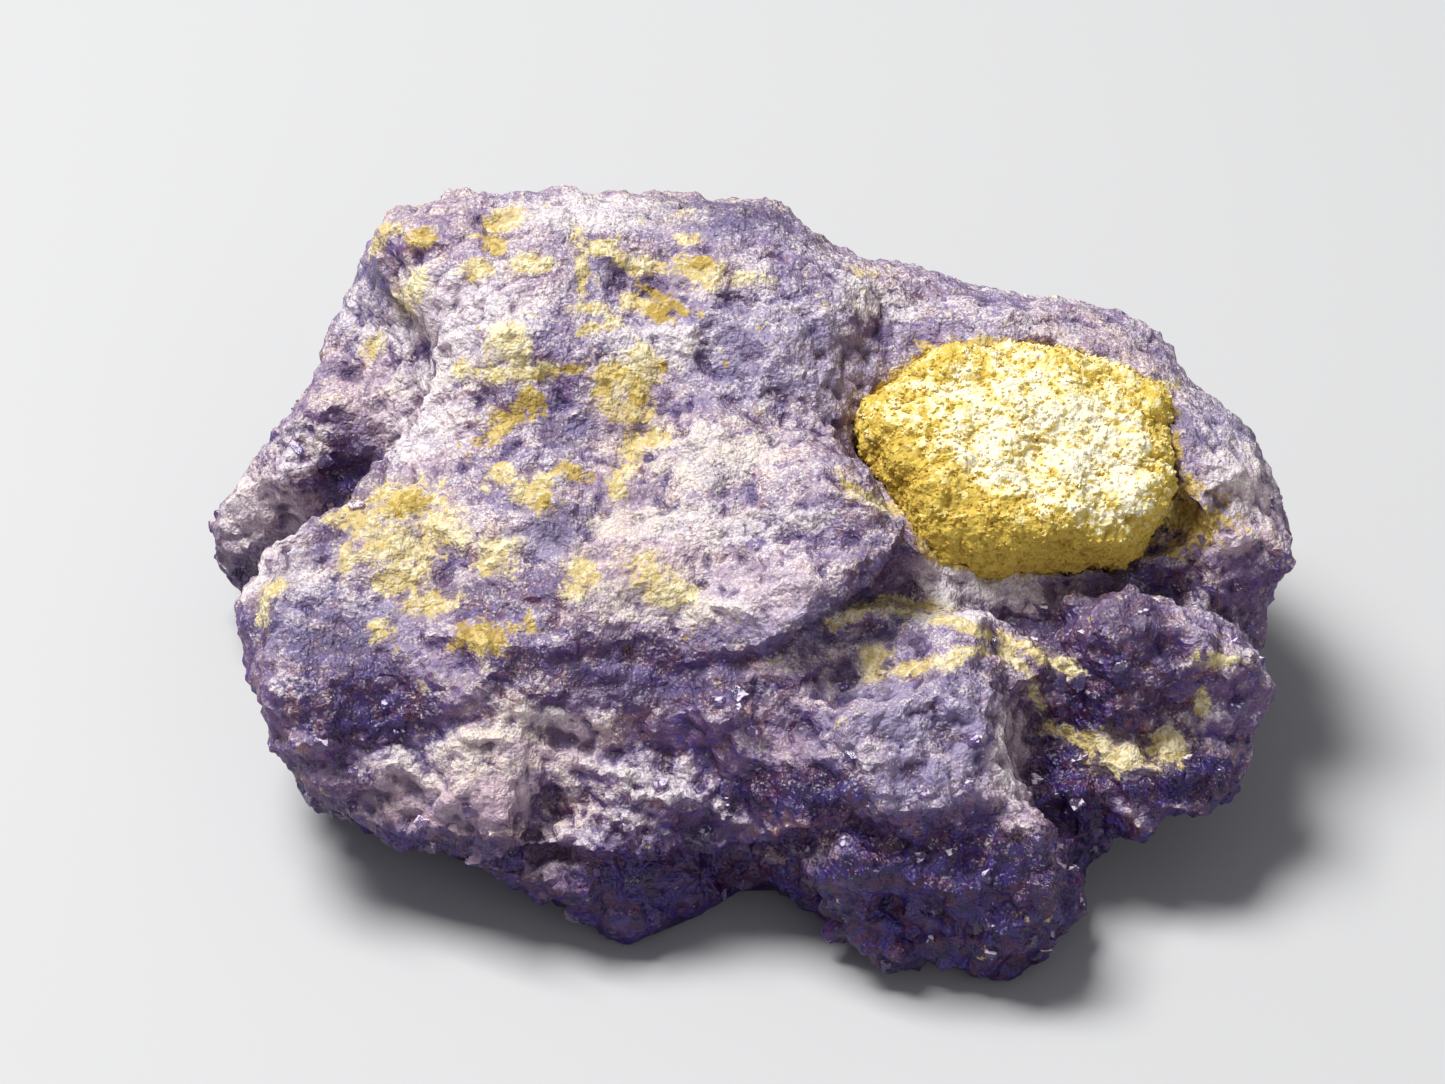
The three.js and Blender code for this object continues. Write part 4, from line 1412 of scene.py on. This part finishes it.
@dataclass
class YellowNodule:
    """The granular yellow nodule, remodelled over its solid.

    Its outline runs over the front slope, in millimetres, with the outside on its left.
    """

    voxel: float = 0.11 * MM
    grow: float = 0.42 * MM
    bumps: Grain = Grain(1.1 * MM, 0.95 * MM)
    clumps: Grain = Grain(2.8 * MM, 1.2 * MM)
    grain: Grain = Grain(0.4 * MM, 0.16 * MM)
    crease: float = 35
    drawn_in: float = 0.85
    outline: tuple[Point, ...] = (
        (5.4, 15.8), (6.5, 16.8), (7.9, 18), (9.6, 19.1), (12.2, 19.5), (15.9, 19.3),
        (19.2, 18.2), (20.9, 16.9), (21.3, 15.2), (20.6, 12.2), (19.4, 10.1), (18.6, 9.1),
        (17, 8.7), (13, 8.5), (11, 8.5), (9, 9.1), (7.5, 11.4), (6.9, 13.4), (6.3, 14.7),
        (5.4, 15.8),
    )
    finish: SulphateFinish = field(default_factory=SulphateFinish)

    def trim(self, piece: bpy.types.Object) -> None:
        """Draws what stands outside the outline in towards its middle, along the slope.

        Args:
            piece: the nodule.
        """
        slope = Slope(piece)
        near = slope.near(self.outline)
        inward = np.where(near.side > 0, near.away, 0) * self.drawn_in
        middle = np.mean(self.outline[1:], axis=0)
        across, up = middle[0] - slope.across, middle[1] - slope.up
        reach = np.maximum(np.hypot(across, up), 1)
        rise = up / reach * inward * MM
        run = across / reach * inward * MM
        slope.move(np.stack([run, rise * slope.sine, rise * slope.cosine], axis=1))
        slope.write()

    def relief(self) -> MeshGraph:
        """Builds the nodes that make the nodule lumpy and pitted.

        Returns:
            The nodes.
        """
        g = MeshGraph("lumpy_relief")
        height = g.times(g.swing(self.bumps.size, 4.0, 0.62), self.bumps.tall)
        height = g.plus(height, g.times(g.swing(self.clumps.size, 2.0), self.clumps.tall))
        height = g.plus(height, g.grains(g.warped(g.place, 1.2 * MM, 0.8 * MM), self.grain))
        g.move(g.plus(height, self.grow))
        g.keep("swell", g.swell(20, 0.15 * MM))
        return g

    def build(self) -> bpy.types.Object:
        """Models the nodule and dresses it.

        Returns:
            The piece.
        """
        piece = merged_copy("yellow_nodule", "yellow_lump")
        apply_modifier(piece, "REMESH", mode="VOXEL", voxel_size=self.voxel)
        smooth(piece, 8)
        self.trim(piece)
        self.relief().apply(piece)
        dress(piece, self.crease, self.finish.build())
        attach(piece, "root")
        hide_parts("yellow_nodule")
        return piece


# ---- the room ----


@dataclass(frozen=True)
class Lamp:
    """A square lamp: its name, place, side in metres and power in watts."""

    name: str
    at: tuple[float, float, float]
    side: float
    power: float


@dataclass
class Studio:
    """Pale floor, soft lights and the camera."""

    floor_side: float = 3.0
    floor_colour: Colour = (0.56, 0.56, 0.56)
    floor_roughness: float = 0.8
    lit_point: tuple[float, float, float] = (0, 0, 0.01)
    lamps: tuple[Lamp, ...] = (
        Lamp("key_lamp", (-0.20, 0.07, 0.52), side=0.24, power=4.3),
        Lamp("fill_lamp", (0.25, -0.55, 0.30), side=0.5, power=0.5),
    )
    sky: Colour = (0.9, 0.93, 1.0)
    sky_strength: float = 0.2
    camera_at: tuple[float, float, float] = (-0.0010611, -0.2308259, 0.1930936)
    camera_pitch: float = math.radians(52)
    camera_lens: float = 145.22
    camera_sensor: float = 36.0
    camera_nearest: float = 0.01

    def lay_floor(self) -> None:
        """Lays the floor."""
        bpy.ops.object.select_all(action="DESELECT")
        bpy.ops.mesh.primitive_plane_add(size=self.floor_side)
        floor = bpy.context.object
        floor.name = "floor"
        material = bpy.data.materials.new("floor")
        material.use_nodes = True
        shader = material.node_tree.nodes["Principled BSDF"]
        shader.inputs["Base Color"].default_value = (*self.floor_colour, 1)
        shader.inputs["Roughness"].default_value = self.floor_roughness
        floor.data.materials.append(material)

    def hang(self, lamp: Lamp) -> None:
        """Hangs one lamp, turned to the lit point.

        Args:
            lamp: the lamp.
        """
        light = bpy.data.lights.new(lamp.name, "AREA")
        light.shape = "SQUARE"
        light.size = lamp.side
        light.energy = lamp.power
        holder = bpy.data.objects.new(lamp.name, light)
        holder.location = lamp.at
        aim = Vector(self.lit_point) - Vector(lamp.at)
        holder.rotation_euler = aim.to_track_quat("-Z", "Y").to_euler()
        bpy.context.collection.objects.link(holder)

    def light_sky(self) -> None:
        """Lights the room from all round."""
        world = bpy.data.worlds.new("room")
        world.use_nodes = True
        background = world.node_tree.nodes["Background"]
        background.inputs["Color"].default_value = (*self.sky, 1)
        background.inputs["Strength"].default_value = self.sky_strength
        bpy.context.scene.world = world

    def place_camera(self) -> None:
        """Places the camera."""
        lens = bpy.data.cameras.new("camera")
        lens.lens = self.camera_lens
        lens.sensor_width = self.camera_sensor
        lens.clip_start = self.camera_nearest
        camera = bpy.data.objects.new("camera", lens)
        camera.location = self.camera_at
        camera.rotation_euler = (self.camera_pitch, 0, 0)
        bpy.context.collection.objects.link(camera)
        bpy.context.scene.camera = camera

    def build(self) -> None:
        """Sets the room up."""
        self.lay_floor()
        for lamp in self.lamps:
            self.hang(lamp)
        self.light_sky()
        bpy.context.scene.view_settings.view_transform = "Standard"
        self.place_camera()


def report(piece: bpy.types.Object) -> bpy.types.Object:
    """Logs a finished piece and hands it on.

    Args:
        piece: the piece.

    Returns:
        The same piece.
    """
    LOG.info("%s: %d faces", piece.name, len(piece.data.polygons))
    return piece


def main() -> None:
    """Builds every piece in order and reports it."""
    logging.basicConfig(level=logging.INFO, format="%(message)s")
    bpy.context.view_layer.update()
    Studio().build()
    mass = report(CoquimbiteMass().build())
    crystals = CrystalGrains(
        host=mass, name="purple_grains", slot="coquimbite", count=900, smallest=0.35 * MM,
        largest=0.9 * MM, seed=3, evenness=0.0, sunk=0.2 * MM,
    )
    report(crystals.build(ClearFinish().build()))
    nodule = report(YellowNodule().build())
    crumbs = CrystalGrains(
        host=nodule, name="yellow_grains", slot="yellow_sulphate", count=3400,
        smallest=0.1 * MM, largest=0.22 * MM, seed=5,
    )
    report(crumbs.build(nodule.data.materials[0]))


if __name__ == "__main__":
    main()
